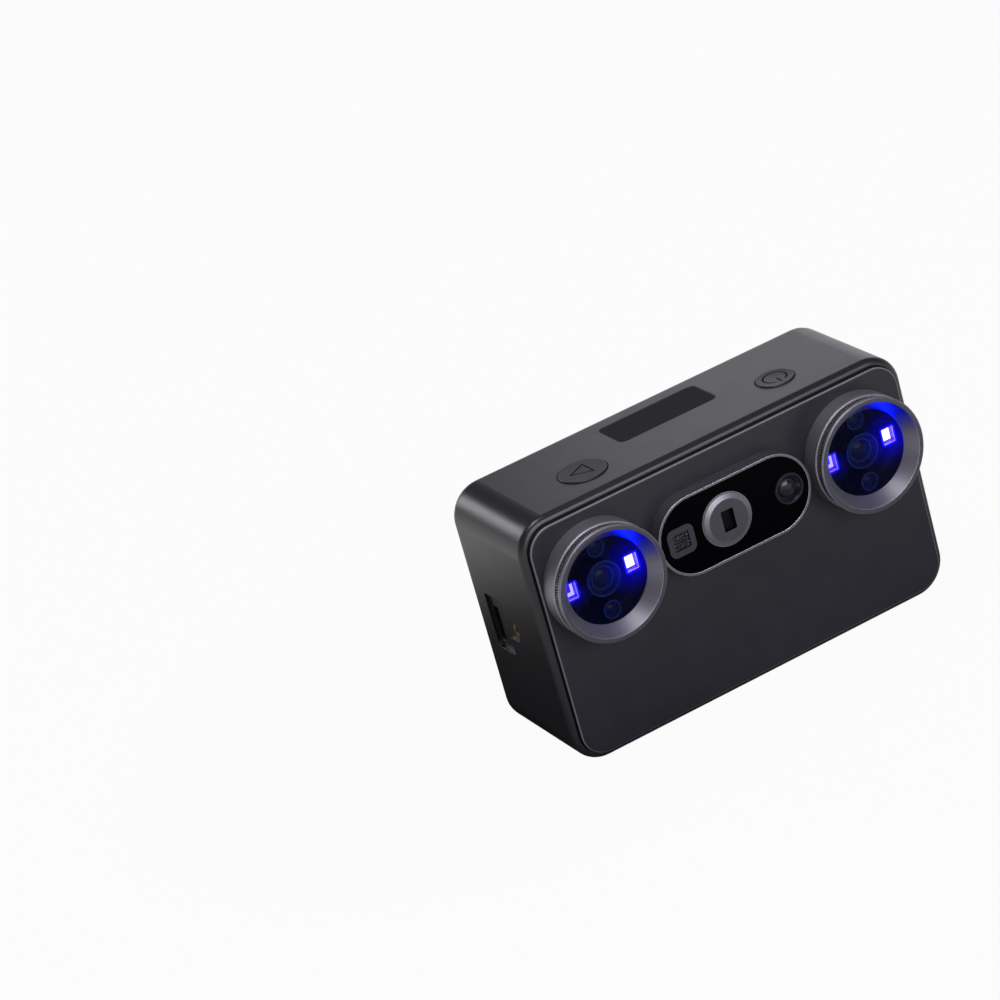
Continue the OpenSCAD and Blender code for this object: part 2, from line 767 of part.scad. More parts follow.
// Plate that fills an opening of the casing, its outer edge rounded
module set_in_plate(inset, t, front_r, rear_r) {
  gone = inset + groove_w;
  filleted_slab(body_w - 2*gone, body_h - 2*gone, corner_r - gone, t, front_r, rear_r);
}

// Lugs that take the case screws, standing on the inner face of a plate
module case_lugs(y, face_y) {
  for (x = [-1, 1]) {
    rod_z(lug_low, lug_high, x*screw_x, y, lug_r);
    block([x*screw_x - lug_r, min(y, face_y), lug_low], [x*screw_x + lug_r, max(y, face_y), lug_high]);
  }
}

module front_panel() color(panel_grey) place() difference() {
  union() {
    translate([0, panel_front, 0]) set_in_plate(panel_inset, panel_t, panel_edge, 0);
    for (p = post_places) rod_y(panel_back - eps, bench_front, p[0], p[1], post_r);
    case_lugs(-screw_y, panel_back - eps);
  }
  for (side = [-1, 1]) rod_y(panel_front - 1, bench_front, side*head_x, head_z, neck_r + plug_gap);
  along_y(panel_front - 1, panel_back + 1) translate([module_x, head_z + module_rise])
      oblong(module_neck - plug_gap);
  for (p = post_places) rod_y(panel_back - 1.1, bench_front + 1, p[0], p[1], screw_r + 0.02);
  for (p = screw_places) rod_z(lug_low - 1, screw_end, p[0], p[1], screw_r + 0.02);
}

module rear_cover() color(housing_grey) place() difference() {
  union() {
    translate([0, cover_front, 0]) set_in_plate(cover_inset, cover_t, 0, plate_edge);
    case_lugs(screw_y, cover_front + eps);
  }
  along_y(lcd_back, rear_y + 1) translate([glass_x, screen_z])
    rounded_rect(glass_w + 2*seat_gap, glass_h + 2*seat_gap, glass_r + seat_gap);
  along_y(cover_front - 1, rear_y) translate([lcd_x, screen_z])
    square([lcd_w + 2*seat_gap, lcd_h + 2*seat_gap], center = true);
  for (p = screw_places) rod_z(lug_low - 1, screw_end, p[0], p[1], screw_r + 0.02);
}

// Screen

module display_glass() color(glass_black) place() along_y(lcd_back, rear_y)
  translate([glass_x, screen_z]) rounded_rect(glass_w, glass_h, glass_r);

module display_panel() color("#2a2a2e") place() along_y(lcd_back - lcd_t, lcd_back)
  translate([lcd_x, screen_z]) square([lcd_w, lcd_h], center = true);

// Optical bench

module optical_bench() color(steel) place() difference() {
  along_y(bench_front, bench_back) rounded_box([-bench_w/2, bench_low], [bench_w/2, bench_high], 3);
  for (p = post_places) rod_y(bench_front - 1, bench_back + 1, p[0], p[1], screw_r + plug_gap);
}

module bench_screws() color(steel) place() for (p = post_places) {
  rod_y(panel_back - 0.9, bench_back + eps, p[0], p[1], screw_r);
  difference() {
    rod_y(bench_back, bench_back + 1.6, p[0], p[1], screw_head_r);
    rod_y(bench_back + 0.8, bench_back + 2, p[0], p[1], 0.9, $fn = 6);
  }
}

// Sensor heads

module lens_boss(side) color(housing_grey) place() on_head(side) rotate_extrude() polygon([
  [bore_r, -neck_l], [neck_r, -neck_l], [neck_r, 0], [boss_r, 0],
  [boss_r, boss_h - 0.3], [boss_r - 0.3, boss_h], [bore_r, boss_h]
]);

module knurled_ring(side) color(black) place() on_head(side) translate([0, 0, boss_h]) linear_extrude(ring_h)
  difference() {
    polygon([
      for (i = [0:2*ring_teeth - 1])
        let (a = 180*i/ring_teeth, r = ring_outer_r - (i % 2)*tooth_h) [r*cos(a), r*sin(a)]
    ]);
    circle(ring_inner_r, $fn = 360);
  }

module lens_hood(side) color(housing_grey) place() on_head(side) rotate_extrude() polygon([
  [window_seat_r, window_out - window_t - 0.3], [hood_plug_r, window_out - window_t - 0.3],
  [hood_plug_r, boss_h], [skirt_r, boss_h], [skirt_r, boss_h + ring_h],
  [boss_r - 0.3, boss_h + ring_h], [boss_r, boss_h + ring_h + 0.3], [boss_r, rim_out - 0.4],
  [boss_r - 0.4, rim_out], [hood_r, rim_out], [window_r, window_out], [window_seat_r, window_out]
]);

module lens_window(side) color(glass_black) place() on_head(side) translate([0, 0, window_out - window_t])
  cylinder(r = window_seat_r - plug_gap, h = window_t);

module lens_board(side) color(board_green) place() on_head(side) translate([0, 0, -neck_l])
  cylinder(r = bore_r - plug_gap, h = board_t);

module camera_lens(side) color(black) place() on_head(side) lens_barrel(camera_r, board_out, lens_out);

module infrared_lenses(side) color(black) place() on_head(side)
  for (up = [-1, 1]) translate([0, up*small_lens_off, 0]) lens_barrel(small_lens_r, board_out, lens_out);

// Light package: a block with a framed well that holds the emitter
module light_emitters(side) color("#5a5cff") place() on_head(side)
  for (x = [-1, 1]) translate([x*light_off, 0, 0]) {
    difference() {
      translate([-light_w/2, -light_h/2, board_out]) cube([light_w, light_h, light_out - board_out]);
      translate([0, 0, light_out - 0.6]) linear_extrude(1)
        square([light_w - 1.6, light_h - 1.6], center = true);
    }
    translate([0, 0, light_out - 0.7]) linear_extrude(0.5)
      square([light_w - 3.2, light_h - 3.2], center = true);
  }

// Projector window

module projector_bezel() color(housing_grey) place() on_window(0) {
  difference() {
    union() {
      linear_extrude(module_out) oblong(0);
      translate([0, 0, -neck_l]) linear_extrude(neck_l + 1) oblong(module_neck);
    }
    translate([0, 0, module_seat]) linear_extrude(module_out) oblong(bezel_w);
    translate([0, 0, module_floor]) linear_extrude(module_out) oblong(bezel_ledge);
    translate([0, 0, -neck_l - 1]) linear_extrude(neck_l + 4) oblong(module_neck + module_neck_wall);
  }
}

module projector_window() color(glass_black) place() on_window(0) translate([0, 0, module_seat])
  linear_extrude(module_window_t) difference() {
    oblong(bezel_w + plug_gap);
    translate([dot_x, 0]) rounded_rect(dot_s + 2*plug_gap, dot_s + 2*plug_gap, dot_corner_r + plug_gap);
    translate([laser_x, 0]) circle(laser_r + plug_gap);
    translate([colour_x, 0]) circle(colour_r + plug_gap);
  }

module projector_board() color(board_green) place() on_window(0) translate([0, 0, -neck_l])
  linear_extrude(board_t) oblong(module_neck + module_neck_wall + plug_gap);

// Square projector: a framed block on a narrow foot, with a grid of pits in its well
module dot_projector() color("#3a3b40") place() on_window(dot_x) {
  well = dot_s*0.6;
  pits = 4;
  foot = dot_s*0.6;
  translate([-foot/2, -foot/2, board_out]) cube([foot, foot, module_foot + eps - board_out]);
  difference() {
    translate([0, 0, module_foot]) linear_extrude(module_out - module_foot)
      rounded_rect(dot_s, dot_s, dot_corner_r);
    translate([0, 0, module_out - 1]) linear_extrude(2) rounded_rect(well, well, 0.5);
    for (i = [0:pits - 1], j = [0:pits - 1])
      translate([(i + 0.5 - pits/2)*well/pits, (j + 0.5 - pits/2)*well/pits, module_out - 1.4])
        cylinder(r = 0.45, h = 1);
  }
}

// Round projector: a stepped, bevelled disc with a tall slot
module laser_projector() color("#4a4b50") place() on_window(laser_x) difference() {
  rotate_extrude() polygon([
    [0, board_out], [laser_r, board_out], [laser_r, module_out], [laser_r - 0.5, module_out],
    [laser_r - 0.5, module_out + 0.4], [laser_r - 2.3, module_out + 1.2], [0, module_out + 1.2]
  ]);
  translate([0, 0, module_out - 0.8]) linear_extrude(3)
    rounded_rect(0.5*laser_r, 0.8*laser_r, 0.05*laser_r);
}

module colour_camera() color(black) place() on_window(colour_x) {
  lens_barrel(colour_r, module_foot, module_out);
  translate([0, 0, board_out]) cylinder(r = colour_r - 1.5, h = module_foot + eps - board_out);
}

// Top

module top_vent() color("#3c3c41") place() along_z(top_z - vent_t - 0.1, top_z - 0.1) translate([0, vent_y])
  difference() {
    rounded_rect(vent_l - 2*seat_gap, vent_d - 2*seat_gap, vent_r - seat_gap);
    hole_rows([2.4 - vent_l/2, 2.4 - vent_d/2], [vent_l/2 - 2.4, vent_d/2 - 2.4], vent_pitch, vent_hole_r);
  }

// Push button: a cap with a rounded rim, a flange that keeps it in, and a stem
module push_button(x, d) translate([x, button_y, 0]) rotate_extrude() polygon([
  [0, stem_low], [3, stem_low], [3, flange_low],
  [d/2 + 1.2, flange_low], [d/2 + 1.2, flange_low + button_flange_t],
  [d/2, flange_low + button_flange_t], [d/2, top_z + button_proud - 0.3], [d/2 - 0.3, top_z + button_proud],
  [0, top_z + button_proud]
]);

module triangle(reach) polygon([for (i = [0:2]) reach*[-cos(120*i), sin(120*i)]]);

module scan_button() color(housing_grey) place() difference() {
  push_button(-button_x, scan_d);
  translate([-button_x, button_y, top_z + button_proud - symbol_depth]) linear_extrude(1) difference() {
    triangle(5.7);
    triangle(5.7 - 2*symbol_line);
  }
}

module power_button() color(housing_grey) place() difference() {
  push_button(button_x, power_d);
  translate([button_x, button_y, top_z + button_proud - symbol_depth]) linear_extrude(1) {
    difference() {
      circle(4.9);
      circle(4.9 - symbol_line);
      polygon([[0, 0], [-4.2, -8], [4.2, -8]]);
    }
    translate([-symbol_line/2, -5.2]) square([symbol_line, 4.2]);
  }
}

// Board under the buttons, with a tactile switch below each stem
module button_board() color(board_green) place() {
  half = max(button_board_posts) + 2;
  block([-half, button_board_y[0], button_board_top - board_t], [half, button_board_y[1], button_board_top]);
  for (x = [-button_x, button_x]) {
    block(
      [x - 3, button_y - 3, button_board_top - eps], [x + 3, button_y + 3, button_board_top + switch_height]
    );
    rod_z(button_board_top, button_board_top + switch_height + plunger_h, x, button_y, 1.6);
  }
}

// Cooling fan

module fan_frame() color(black) place() translate([0, vent_y, fan_low]) {
  difference() {
    translate([-fan_s/2, -fan_s/2, 0]) cube([fan_s, fan_s, fan_h]);
    translate([0, 0, -1]) cylinder(r = fan_bore_r, h = fan_h + 2);
  }
  for (turn = [0, 120, 240]) rotate([0, 0, turn]) translate([-0.8, 0, 0])
    cube([1.6, fan_bore_r + 0.3, fan_floor_t]);
  cylinder(r = fan_hub_r, h = fan_floor_t);
  cylinder(r = fan_shaft_r, h = fan_h - 1);
}

module fan_rotor() color("#2a2a2e") place() translate([0, vent_y, fan_rotor_low]) difference() {
  blade_h = fan_h - fan_floor_t - 1;
  union() {
    cylinder(r = fan_hub_r, h = blade_h);
    intersection() {
      cylinder(r = fan_bore_r - 0.6, h = blade_h);
      for (turn = [0:60:300]) rotate([0, 0, turn]) translate([fan_hub_r - eps, 0, blade_h/2])
        rotate([40, 0, 0]) translate([0, -0.4, -blade_h]) cube([fan_bore_r, 0.8, 2*blade_h]);
    }
  }
  translate([0, 0, -1]) cylinder(r = fan_shaft_r + run_gap, h = blade_h + 2);
}

// Boards and power

module main_board() color(board_green) place() along_y(board_front, board_back)
  rounded_box([board_left, board_low], [board_right, board_high], 2);

module board_standoffs() color(brass) place() for (p = standoff_places)
  rod_y(board_back, cover_front, p[0], p[1], standoff_r, $fn = 6);

module heat_sink() color(steel) place() {
  block([-sink_w/2, board_front - sink_base_t, sink_low], [sink_w/2, board_front, board_high]);
  for (i = [0:sink_fins - 1]) {
    x = -sink_w/2 + i*(sink_w - sink_fin_t)/(sink_fins - 1);
    fin_back = board_front - sink_base_t + eps;
    block([x, fin_back - eps - sink_fin_h, sink_low], [x + sink_fin_t, fin_back, board_high]);
  }
}

module battery_pack() color("#33343a") place() along_x(battery_left, battery_right)
  rounded_box([battery_front, battery_low], [battery_back, battery_high], 2);

// Spring contacts on a block that stands on the main board
module battery_contacts() color(brass) place() {
  step = contact_h/4;
  block(
    [battery_left - contact_w, contact_front, contact_low],
    [battery_left - 1, board_front, contact_low + contact_h]
  );
  for (i = [0:3]) block(
    [battery_left - 1 - eps, contact_front + contact_w/2, contact_low + (i + 0.3)*step],
    [battery_left, contact_front + 2*contact_w, contact_low + (i + 0.7)*step]
  );
}

// Mode switch

module switch_panel() color(housing_grey) place() difference() {
  along_x(end_x - switch_panel_t, end_x) translate([switch_panel_y, switch_panel_z])
    rounded_rect(switch_panel_l - 2*seat_gap, switch_panel_h - 2*seat_gap, 4 - seat_gap);
  along_x(end_x - switch_panel_t - 1, end_x + 1) translate([switch_y, switch_panel_z])
    rounded_rect(switch_w, switch_h, 1);
  for (mark = [[0, 1], [-1, -1], [1, -1]])
    rod_x(end_x - 0.3, end_x + 1, switch_y + 1.5*mark[0], switch_panel_z + mark[1]*(switch_h/2 + 3), 0.5);
}

module mode_switch_base() color(black) place() difference() {
  half_w = knob_foot_w/2 + slide_gap;
  half_h = (knob_foot_h + switch_travel)/2 + slide_gap;
  mid_z = knob_z - switch_travel/2;
  side = 2;
  block(
    [wall_inner_x - switch_base_t, switch_y - half_w - side, mid_z - half_h - side],
    [wall_inner_x, switch_y + half_w + side, mid_z + half_h + side]
  );
  block(
    [wall_inner_x - knob_foot_t - 2*slide_gap, switch_y - half_w, mid_z - half_h],
    [wall_inner_x + 1, switch_y + half_w, mid_z + half_h]
  );
}

module mode_switch_knob() color("#6a6b70") place() {
  foot_x = wall_inner_x - slide_gap;
  block(
    [foot_x - knob_foot_t, switch_y - knob_foot_w/2, knob_z - knob_foot_h/2],
    [foot_x, switch_y + knob_foot_w/2, knob_z + knob_foot_h/2]
  );
  block(
    [foot_x - eps, switch_y - switch_w/2 + 0.5, knob_z - knob_h/2],
    [end_x - 0.4, switch_y + switch_w/2 - 0.5, knob_z + knob_h/2]
  );
}

// Battery door

module latch_rails() {
  plate_half = latch_plate_w/2 + slide_gap;
  back_x = latch_plate_x - latch_plate_t - slide_gap;
  for (side = [-1, 1]) translate([0, latch_y, 0]) {
    y0 = side > 0 ? plate_half : -plate_half - rail_t;
    lip0 = side > 0 ? plate_half - 1.2 : -plate_half - rail_t;
    block([back_x - rail_lip, y0, latch_plate_low], [door_inner_x + eps, y0 + rail_t, latch_plate_high]);
    block([back_x - rail_lip, lip0, latch_plate_low], [back_x, lip0 + rail_t + 1.2, latch_plate_high]);
  }
}

module battery_door() color(housing_grey) place() difference() {
  union() {
    intersection() {
      along_y(door_y0, door_y1) corner_band(0, door_t, door_z, 0, hinge_angle);
      along_x(0, end_x + 1) rounded_box([door_y0, -body_h], [door_y1, door_z], door_r);
    }
    rod_y(door_y0, door_y1, hinge_x, hinge_z, barrel_r);
    latch_rails();
  }
  rod_y(door_y0 - 1, door_y1 + 1, hinge_x, hinge_z, pin_r + run_gap);
  along_x(door_inner_x - 0.05, end_x + 1) translate([latch_y, latch_mid_z])
    rounded_rect(latch_w, latch_h, 1);
}

module door_hinge_pin() color(steel) place()
  rod_y(door_y0 - pin_grip, door_y1 + pin_grip, hinge_x, hinge_z, pin_r);

module door_latch() color("#6a6b70") place() {
  plate_x0 = latch_plate_x - latch_plate_t;
  block(
    [plate_x0, latch_y - latch_plate_w/2, latch_plate_low],
    [latch_plate_x, latch_y + latch_plate_w/2, latch_plate_high]
  );
  block(
    [plate_x0, latch_y - 3.5, latch_plate_high - eps],
    [plate_x0 + tongue_t, latch_y + 3.5, tongue_high]
  );
  block(
    [latch_plate_x - eps, latch_y - latch_w/2 + 0.4, latch_mid_z - latch_bar_h/2],
    [end_x - 0.5, latch_y + latch_w/2 - 0.4, latch_mid_z + latch_bar_h/2]
  );
}

// Underside

// Outline of a plate that seats in a recess between two corners
module set_in_outline(low, high, r)
  rounded_box(low + [seat_gap, seat_gap], high - [seat_gap, seat_gap], r - seat_gap);

module bottom_plate() color(housing_grey) place() along_z(-top_z, under_z) difference() {
  set_in_outline(bottom_plate_low, bottom_plate_high, under_plate_r);
  translate([0, tripod_y]) circle(tripod_rim_r);
}

module end_plate() color(housing_grey) place() along_z(-top_z, under_z)
  set_in_outline(end_plate_low, end_plate_high, under_plate_r);

module bottom_grille() color("#3c3c41") place() along_z(-top_z, under_z) difference() {
  set_in_outline(grille_low, grille_high, under_plate_r + 1);
  hole_rows(patch_a_low, patch_a_high, grille_pitch, grille_hole_r);
  hole_rows(patch_b_low, patch_b_high, grille_pitch, grille_hole_r);
}

// Threaded insert with a wide flange
module tripod_socket() color(steel) place() translate([0, tripod_y, -top_z]) difference() {
  union() {
    cylinder(r = tripod_flange_r, h = under_plate_t);
    cylinder(r = tripod_barrel_r, h = tripod_l);
  }
  translate([0, 0, -1]) cylinder(r = tripod_thread_r, h = tripod_thread_l + 1);
}

module bottom_screws() color(steel) place() for (p = screw_places) {
  rod_z(-top_z + eps, screw_end - 0.2, p[0], p[1], screw_r);
  difference() {
    rod_z(-top_z + 0.1, -top_z + 0.1 + screw_head_t, p[0], p[1], screw_head_r);
    rod_z(-top_z - 1, -top_z + 0.7, p[0], p[1], 0.9, $fn = 6);
  }
}

module speaker() color(black) place() block(
  [patch_b_low[0] - 1, patch_b_low[1] - 1, floor_z],
  [patch_b_high[0] + 1, patch_b_high[1] + 1, floor_z + speaker_t]
);

// Connector end

module usb_socket() color(steel) place() {
  difference() {
    along_x(recess_x, socket_back) translate([socket_y, socket_z]) rounded_rect(socket_w, socket_h, 0.9);
    along_x(recess_x - 1, socket_back - 0.8) translate([socket_y, socket_z])
      rounded_rect(socket_w - 2*socket_wall, socket_h - 2*socket_wall, 0.5);
  }
  block(
    [recess_x + 0.8, socket_y - 0.5, socket_z - socket_h/2 + 2],
    [socket_back - eps, socket_y + 0.5, socket_z + socket_h/2 - 2]
  );
}

module lock_insert() color(brass) place() difference() {
  rod_x(lobe_x, lobe_x + insert_l, lock_y, lock_z, insert_r);
  rod_x(lobe_x - 1, lobe_x + insert_l - 0.8, lock_y, lock_z, insert_thread_r);
}

// Board that carries the socket and plugs onto the main board's edge
module connector_board() color(board_green) place() block(
  [socket_back, min(lock_y, board_front) - board_edge, socket_z - socket_h/2 - board_edge],
  [board_left, max(socket_y + socket_w/2 + 1, board_back) + board_edge, socket_z + socket_h/2 + board_edge]
);

module strap_plug() color(black) place() mirror([1, 0, 0])
  along_y(strap_mid_y - strap_l/2 + seat_gap, strap_mid_y + strap_l/2 - seat_gap)
    corner_band(0, strap_depth - 0.05, 0, strap_from + 0.6, strap_to - 0.6);

main_housing();
front_panel();
rear_cover();
display_glass();
display_panel();
optical_bench();
bench_screws();
lens_boss(-1);  // lens_boss_left
lens_boss(1);  // lens_boss_right
knurled_ring(-1);  // knurled_ring_left
knurled_ring(1);  // knurled_ring_right
lens_hood(-1);  // lens_hood_left
lens_hood(1);  // lens_hood_right
lens_window(-1);  // lens_window_left
lens_window(1);  // lens_window_right
camera_lens(-1);  // camera_lens_left
camera_lens(1);  // camera_lens_right
infrared_lenses(-1);  // infrared_lenses_left
infrared_lenses(1);  // infrared_lenses_right
light_emitters(-1);  // light_emitters_left
light_emitters(1);  // light_emitters_right
lens_board(-1);  // lens_board_left
lens_board(1);  // lens_board_right
projector_bezel();
projector_window();
dot_projector();
laser_projector();
colour_camera();
projector_board();
top_vent();
scan_button();
power_button();
button_board();
fan_frame();
fan_rotor();
main_board();
board_standoffs();
heat_sink();
battery_pack();
battery_contacts();
switch_panel();
mode_switch_base();
mode_switch_knob();
battery_door();
door_hinge_pin();
door_latch();
bottom_plate();
tripod_socket();
bottom_grille();
end_plate();
bottom_screws();
speaker();
usb_socket();
lock_insert();
connector_board();
strap_plug();
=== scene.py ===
"""Handheld three-d scanner: finishes, small fittings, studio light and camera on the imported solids."""
import math

import bpy
from mathutils import Matrix, Vector


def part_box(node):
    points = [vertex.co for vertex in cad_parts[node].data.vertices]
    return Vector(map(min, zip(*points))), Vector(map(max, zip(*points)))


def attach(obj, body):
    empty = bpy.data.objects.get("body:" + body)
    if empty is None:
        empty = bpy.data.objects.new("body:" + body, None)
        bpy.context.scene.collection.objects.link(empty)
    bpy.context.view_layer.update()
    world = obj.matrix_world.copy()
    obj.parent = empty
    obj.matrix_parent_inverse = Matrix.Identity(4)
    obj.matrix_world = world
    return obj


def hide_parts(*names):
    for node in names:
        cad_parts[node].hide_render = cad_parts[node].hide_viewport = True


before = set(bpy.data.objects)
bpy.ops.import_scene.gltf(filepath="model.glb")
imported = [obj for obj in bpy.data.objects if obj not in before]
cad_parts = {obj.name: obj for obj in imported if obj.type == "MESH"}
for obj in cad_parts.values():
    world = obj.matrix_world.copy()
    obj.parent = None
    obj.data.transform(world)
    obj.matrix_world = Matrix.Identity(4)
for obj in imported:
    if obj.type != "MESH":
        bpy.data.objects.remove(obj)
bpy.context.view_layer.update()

MM = 0.001
X, Y, Z = Vector((1, 0, 0)), Vector((0, 1, 0)), Vector((0, 0, 1))


def middle(node):
    """Centre of a CAD node's box, in metres."""
    low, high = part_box(node)
    return (low + high) / 2


LEFT_HEAD = middle("lens_window_left")
RIGHT_HEAD = middle("lens_window_right")
HEAD_X = RIGHT_HEAD.x
HEAD_Z = RIGHT_HEAD.z
WINDOW_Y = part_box("lens_window_left")[0].y
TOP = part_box("main_housing")[1].z
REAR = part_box("main_housing")[1].y
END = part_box("main_housing")[0].x
LIGHT_OFF = 13 * MM
HEADS = (("left", LEFT_HEAD.x), ("right", RIGHT_HEAD.x))
HOOD_INNER_R = 20.8 * MM
SCREEN_AREA = ((0, -51.9 * MM, 57 * MM), (2, 21 * MM, 83.3 * MM))
LASER_FACE_R = 8.2 * MM
SLOT_HALF_W, SLOT_HALF_H = 2.75 * MM, 4.35 * MM
WELL_HALF = 3.45 * MM
RING_PITCH, WEAVE_PITCH = 0.35 * MM, 0.9 * MM

# Where the photograph was taken from: azimuth, elevation and roll in degrees, place in metres, lens in mm
CAMERA_TURN = (-22.37, 24.25, 16.07)
CAMERA_PLACE = (-0.56786, -1.19541, 0.68542)
CAMERA_LENS = 141.94


def place_camera():
    azimuth, elevation, roll = (math.radians(turn) for turn in CAMERA_TURN)
    back = Vector((math.sin(azimuth) * math.cos(elevation), -math.cos(azimuth) * math.cos(elevation),
                   math.sin(elevation)))
    level = Z.cross(back).normalized()
    upright = back.cross(level)
    right = math.cos(roll) * level - math.sin(roll) * upright
    up = math.cos(roll) * upright + math.sin(roll) * level
    lens = bpy.data.cameras.new("photo_camera")
    lens.lens = CAMERA_LENS
    lens.sensor_width = 36
    lens.clip_start = 0.05
    camera = bpy.data.objects.new("photo_camera", lens)
    bpy.context.scene.collection.objects.link(camera)
    turn = Matrix((right, up, back)).transposed().to_4x4()
    camera.matrix_world = Matrix.Translation(CAMERA_PLACE) @ turn
    bpy.context.scene.camera = camera


# Material building

def colour(code, alpha=1.0):
    """An sRGB hex colour as linear values."""
    parts = [int(code[i:i + 2], 16) / 255 for i in (1, 3, 5)]
    return [p / 12.92 if p <= 0.04045 else ((p + 0.055) / 1.055) ** 2.4 for p in parts] + [alpha]


def node(tree, kind, inputs=None, **settings):
    """Add one node with its settings, and set or link its inputs."""
    made = tree.nodes.new("ShaderNode" + kind)
    for name, value in settings.items():
        setattr(made, name, value)
    for name, value in (inputs or {}).items():
        if isinstance(value, bpy.types.NodeSocket):
            tree.links.new(value, made.inputs[name])
        else:
            made.inputs[name].default_value = value
    return made


def blank(name, **values):
    """A new material with its tree, its shader and the object's own coordinates."""
    material = bpy.data.materials.new(name)
    material.use_nodes = True
    tree = material.node_tree
    shader = tree.nodes["Principled BSDF"]
    for socket, value in values.items():
        shader.inputs[socket.replace("_", " ")].default_value = value
    return material, tree, shader, node(tree, "TexCoord").outputs["Object"]


def within(tree, place, *limits, blur=0.05 * MM):
    """1 inside a box and 0 outside it. Each limit is (axis, low, high), in metres."""
    part = node(tree, "SeparateXYZ", {0: place}).outputs
    mask = None
    for axis, low, high in limits:
        off = node(tree, "Math", {0: part[axis], 1: (low + high) / 2}, operation="SUBTRACT").outputs[0]
        far = node(tree, "Math", {0: off}, operation="ABSOLUTE").outputs[0]
        half = (high - low) / 2
        edge = node(tree, "MapRange", {"Value": far, 1: half + blur, 2: half - blur}).outputs[0]
        if mask is None:
            mask = edge
        else:
            mask = node(tree, "Math", {0: mask, 1: edge}, operation="MULTIPLY").outputs[0]
    return mask


def distance(tree, place, centre, keep):
    """Distance from a point, in metres, counting only the axes that keep holds as 1."""
    off = node(tree, "VectorMath", {0: place, 1: centre}, operation="SUBTRACT").outputs[0]
    flat = node(tree, "VectorMath", {0: off, 1: keep}, operation="MULTIPLY").outputs[0]
    return node(tree, "VectorMath", {0: flat}, operation="LENGTH").outputs["Value"]


def facing_front(tree, low, high):
    """0 to 1 as the surface turns from one share of facing the front to another."""
    turn = node(tree, "SeparateXYZ", {0: node(tree, "NewGeometry").outputs["Normal"]}).outputs[1]
    return node(tree, "MapRange", {"Value": turn, 1: -low, 2: -high}).outputs[0]


def paint_over(material, mask, code):
    """Lay a second colour over a finish where the mask is 1."""
    tree = material.node_tree
    shader = tree.nodes["Principled BSDF"]
    under = shader.inputs["Base Color"].links[0].from_socket
    tone = node(tree, "Mix", {0: mask, 6: under, 7: colour(code)}, data_type="RGBA").outputs[2]
    tree.links.new(tone, shader.inputs["Base Color"])


def moulded(name, deep, pale, rough, grit_mm, grit_depth, worn=None, **values):
    """Moulded or sprayed plastic: clouded colour, uneven gloss, a fine grit and softened, rubbed edges."""
    material, tree, shader, place = blank(name, **values)
    cloud = node(tree, "TexNoise", {"Vector": place, "Scale": 1000 / 30, "Detail": 3.0}).outputs["Fac"]
    tone = node(tree, "Mix", {0: cloud, 6: colour(deep), 7: colour(pale)}, data_type="RGBA").outputs[2]
    handled = node(tree, "TexNoise", {"Vector": place, "Scale": 1000 / 9, "Detail": 4.0}).outputs["Fac"]
    gloss = node(tree, "MapRange", {"Value": handled, 1: 0.3, 2: 0.7, 3: rough[0], 4: rough[1]}).outputs[0]
    tree.links.new(gloss, shader.inputs["Roughness"])
    soft = node(tree, "Bevel", {"Radius": 0.3 * MM}, samples=4).outputs["Normal"]
    grit = node(tree, "TexNoise", {"Vector": place, "Scale": 1000 / grit_mm, "Detail": 2.0}).outputs["Fac"]
    bump = node(tree, "Bump", {"Strength": 1.0, "Distance": grit_depth * MM, "Height": grit, "Normal": soft})
    tree.links.new(bump.outputs["Normal"], shader.inputs["Normal"])
    if worn:
        flat = node(tree, "NewGeometry").outputs["Normal"]
        bend = node(tree, "VectorMath", {0: soft, 1: flat}, operation="DOT_PRODUCT").outputs["Value"]
        edge = node(tree, "MapRange", {"Value": bend, 1: 1.0, 2: 0.86, 3: 0.0, 4: 0.6}).outputs[0]
        rubbed = node(tree, "Math", {0: edge, 1: handled}, operation="MULTIPLY").outputs[0]
        tone = node(tree, "Mix", {0: rubbed, 6: tone, 7: colour(worn)}, data_type="RGBA").outputs[2]
    tree.links.new(tone, shader.inputs["Base Color"])
    return material


def metal(name, deep, pale, rough, grain, grain_mm, grain_depth, **values):
    """Machined metal: fine lines along the cut, with the gloss broken by them. grain stretches the lines."""
    material, tree, shader, place = blank(name, **values)
    lines = node(tree, "Mapping", {"Vector": place, "Scale": grain}).outputs[0]
    cut = node(tree, "TexNoise", {"Vector": lines, "Scale": 1000 / grain_mm, "Detail": 3.0}).outputs["Fac"]
    tone = node(tree, "Mix", {0: cut, 6: colour(deep), 7: colour(pale)}, data_type="RGBA").outputs[2]
    tree.links.new(tone, shader.inputs["Base Color"])
    gloss = node(tree, "MapRange", {"Value": cut, 1: 0.3, 2: 0.7, 3: rough[0], 4: rough[1]}).outputs[0]
    tree.links.new(gloss, shader.inputs["Roughness"])
    soft = node(tree, "Bevel", {"Radius": 0.15 * MM}, samples=4).outputs["Normal"]
    bump = node(tree, "Bump", {"Distance": grain_depth * MM, "Height": cut, "Normal": soft})
    tree.links.new(bump.outputs["Normal"], shader.inputs["Normal"])
    return material


def head_radius(tree, place):
    """Distance from the nearer sensor head's axis, in metres."""
    part = node(tree, "SeparateXYZ", {0: place})
    side = node(tree, "Math", {0: part.outputs[0]}, operation="ABSOLUTE").outputs[0]
    across = node(tree, "Math", {0: side, 1: HEAD_X}, operation="SUBTRACT").outputs[0]
    along = node(tree, "Math", {0: part.outputs[2], 1: HEAD_Z}, operation="SUBTRACT").outputs[0]
    flat = node(tree, "CombineXYZ", {0: across, 1: along}).outputs[0]
    return node(tree, "VectorMath", {0: flat}, operation="LENGTH").outputs["Value"]


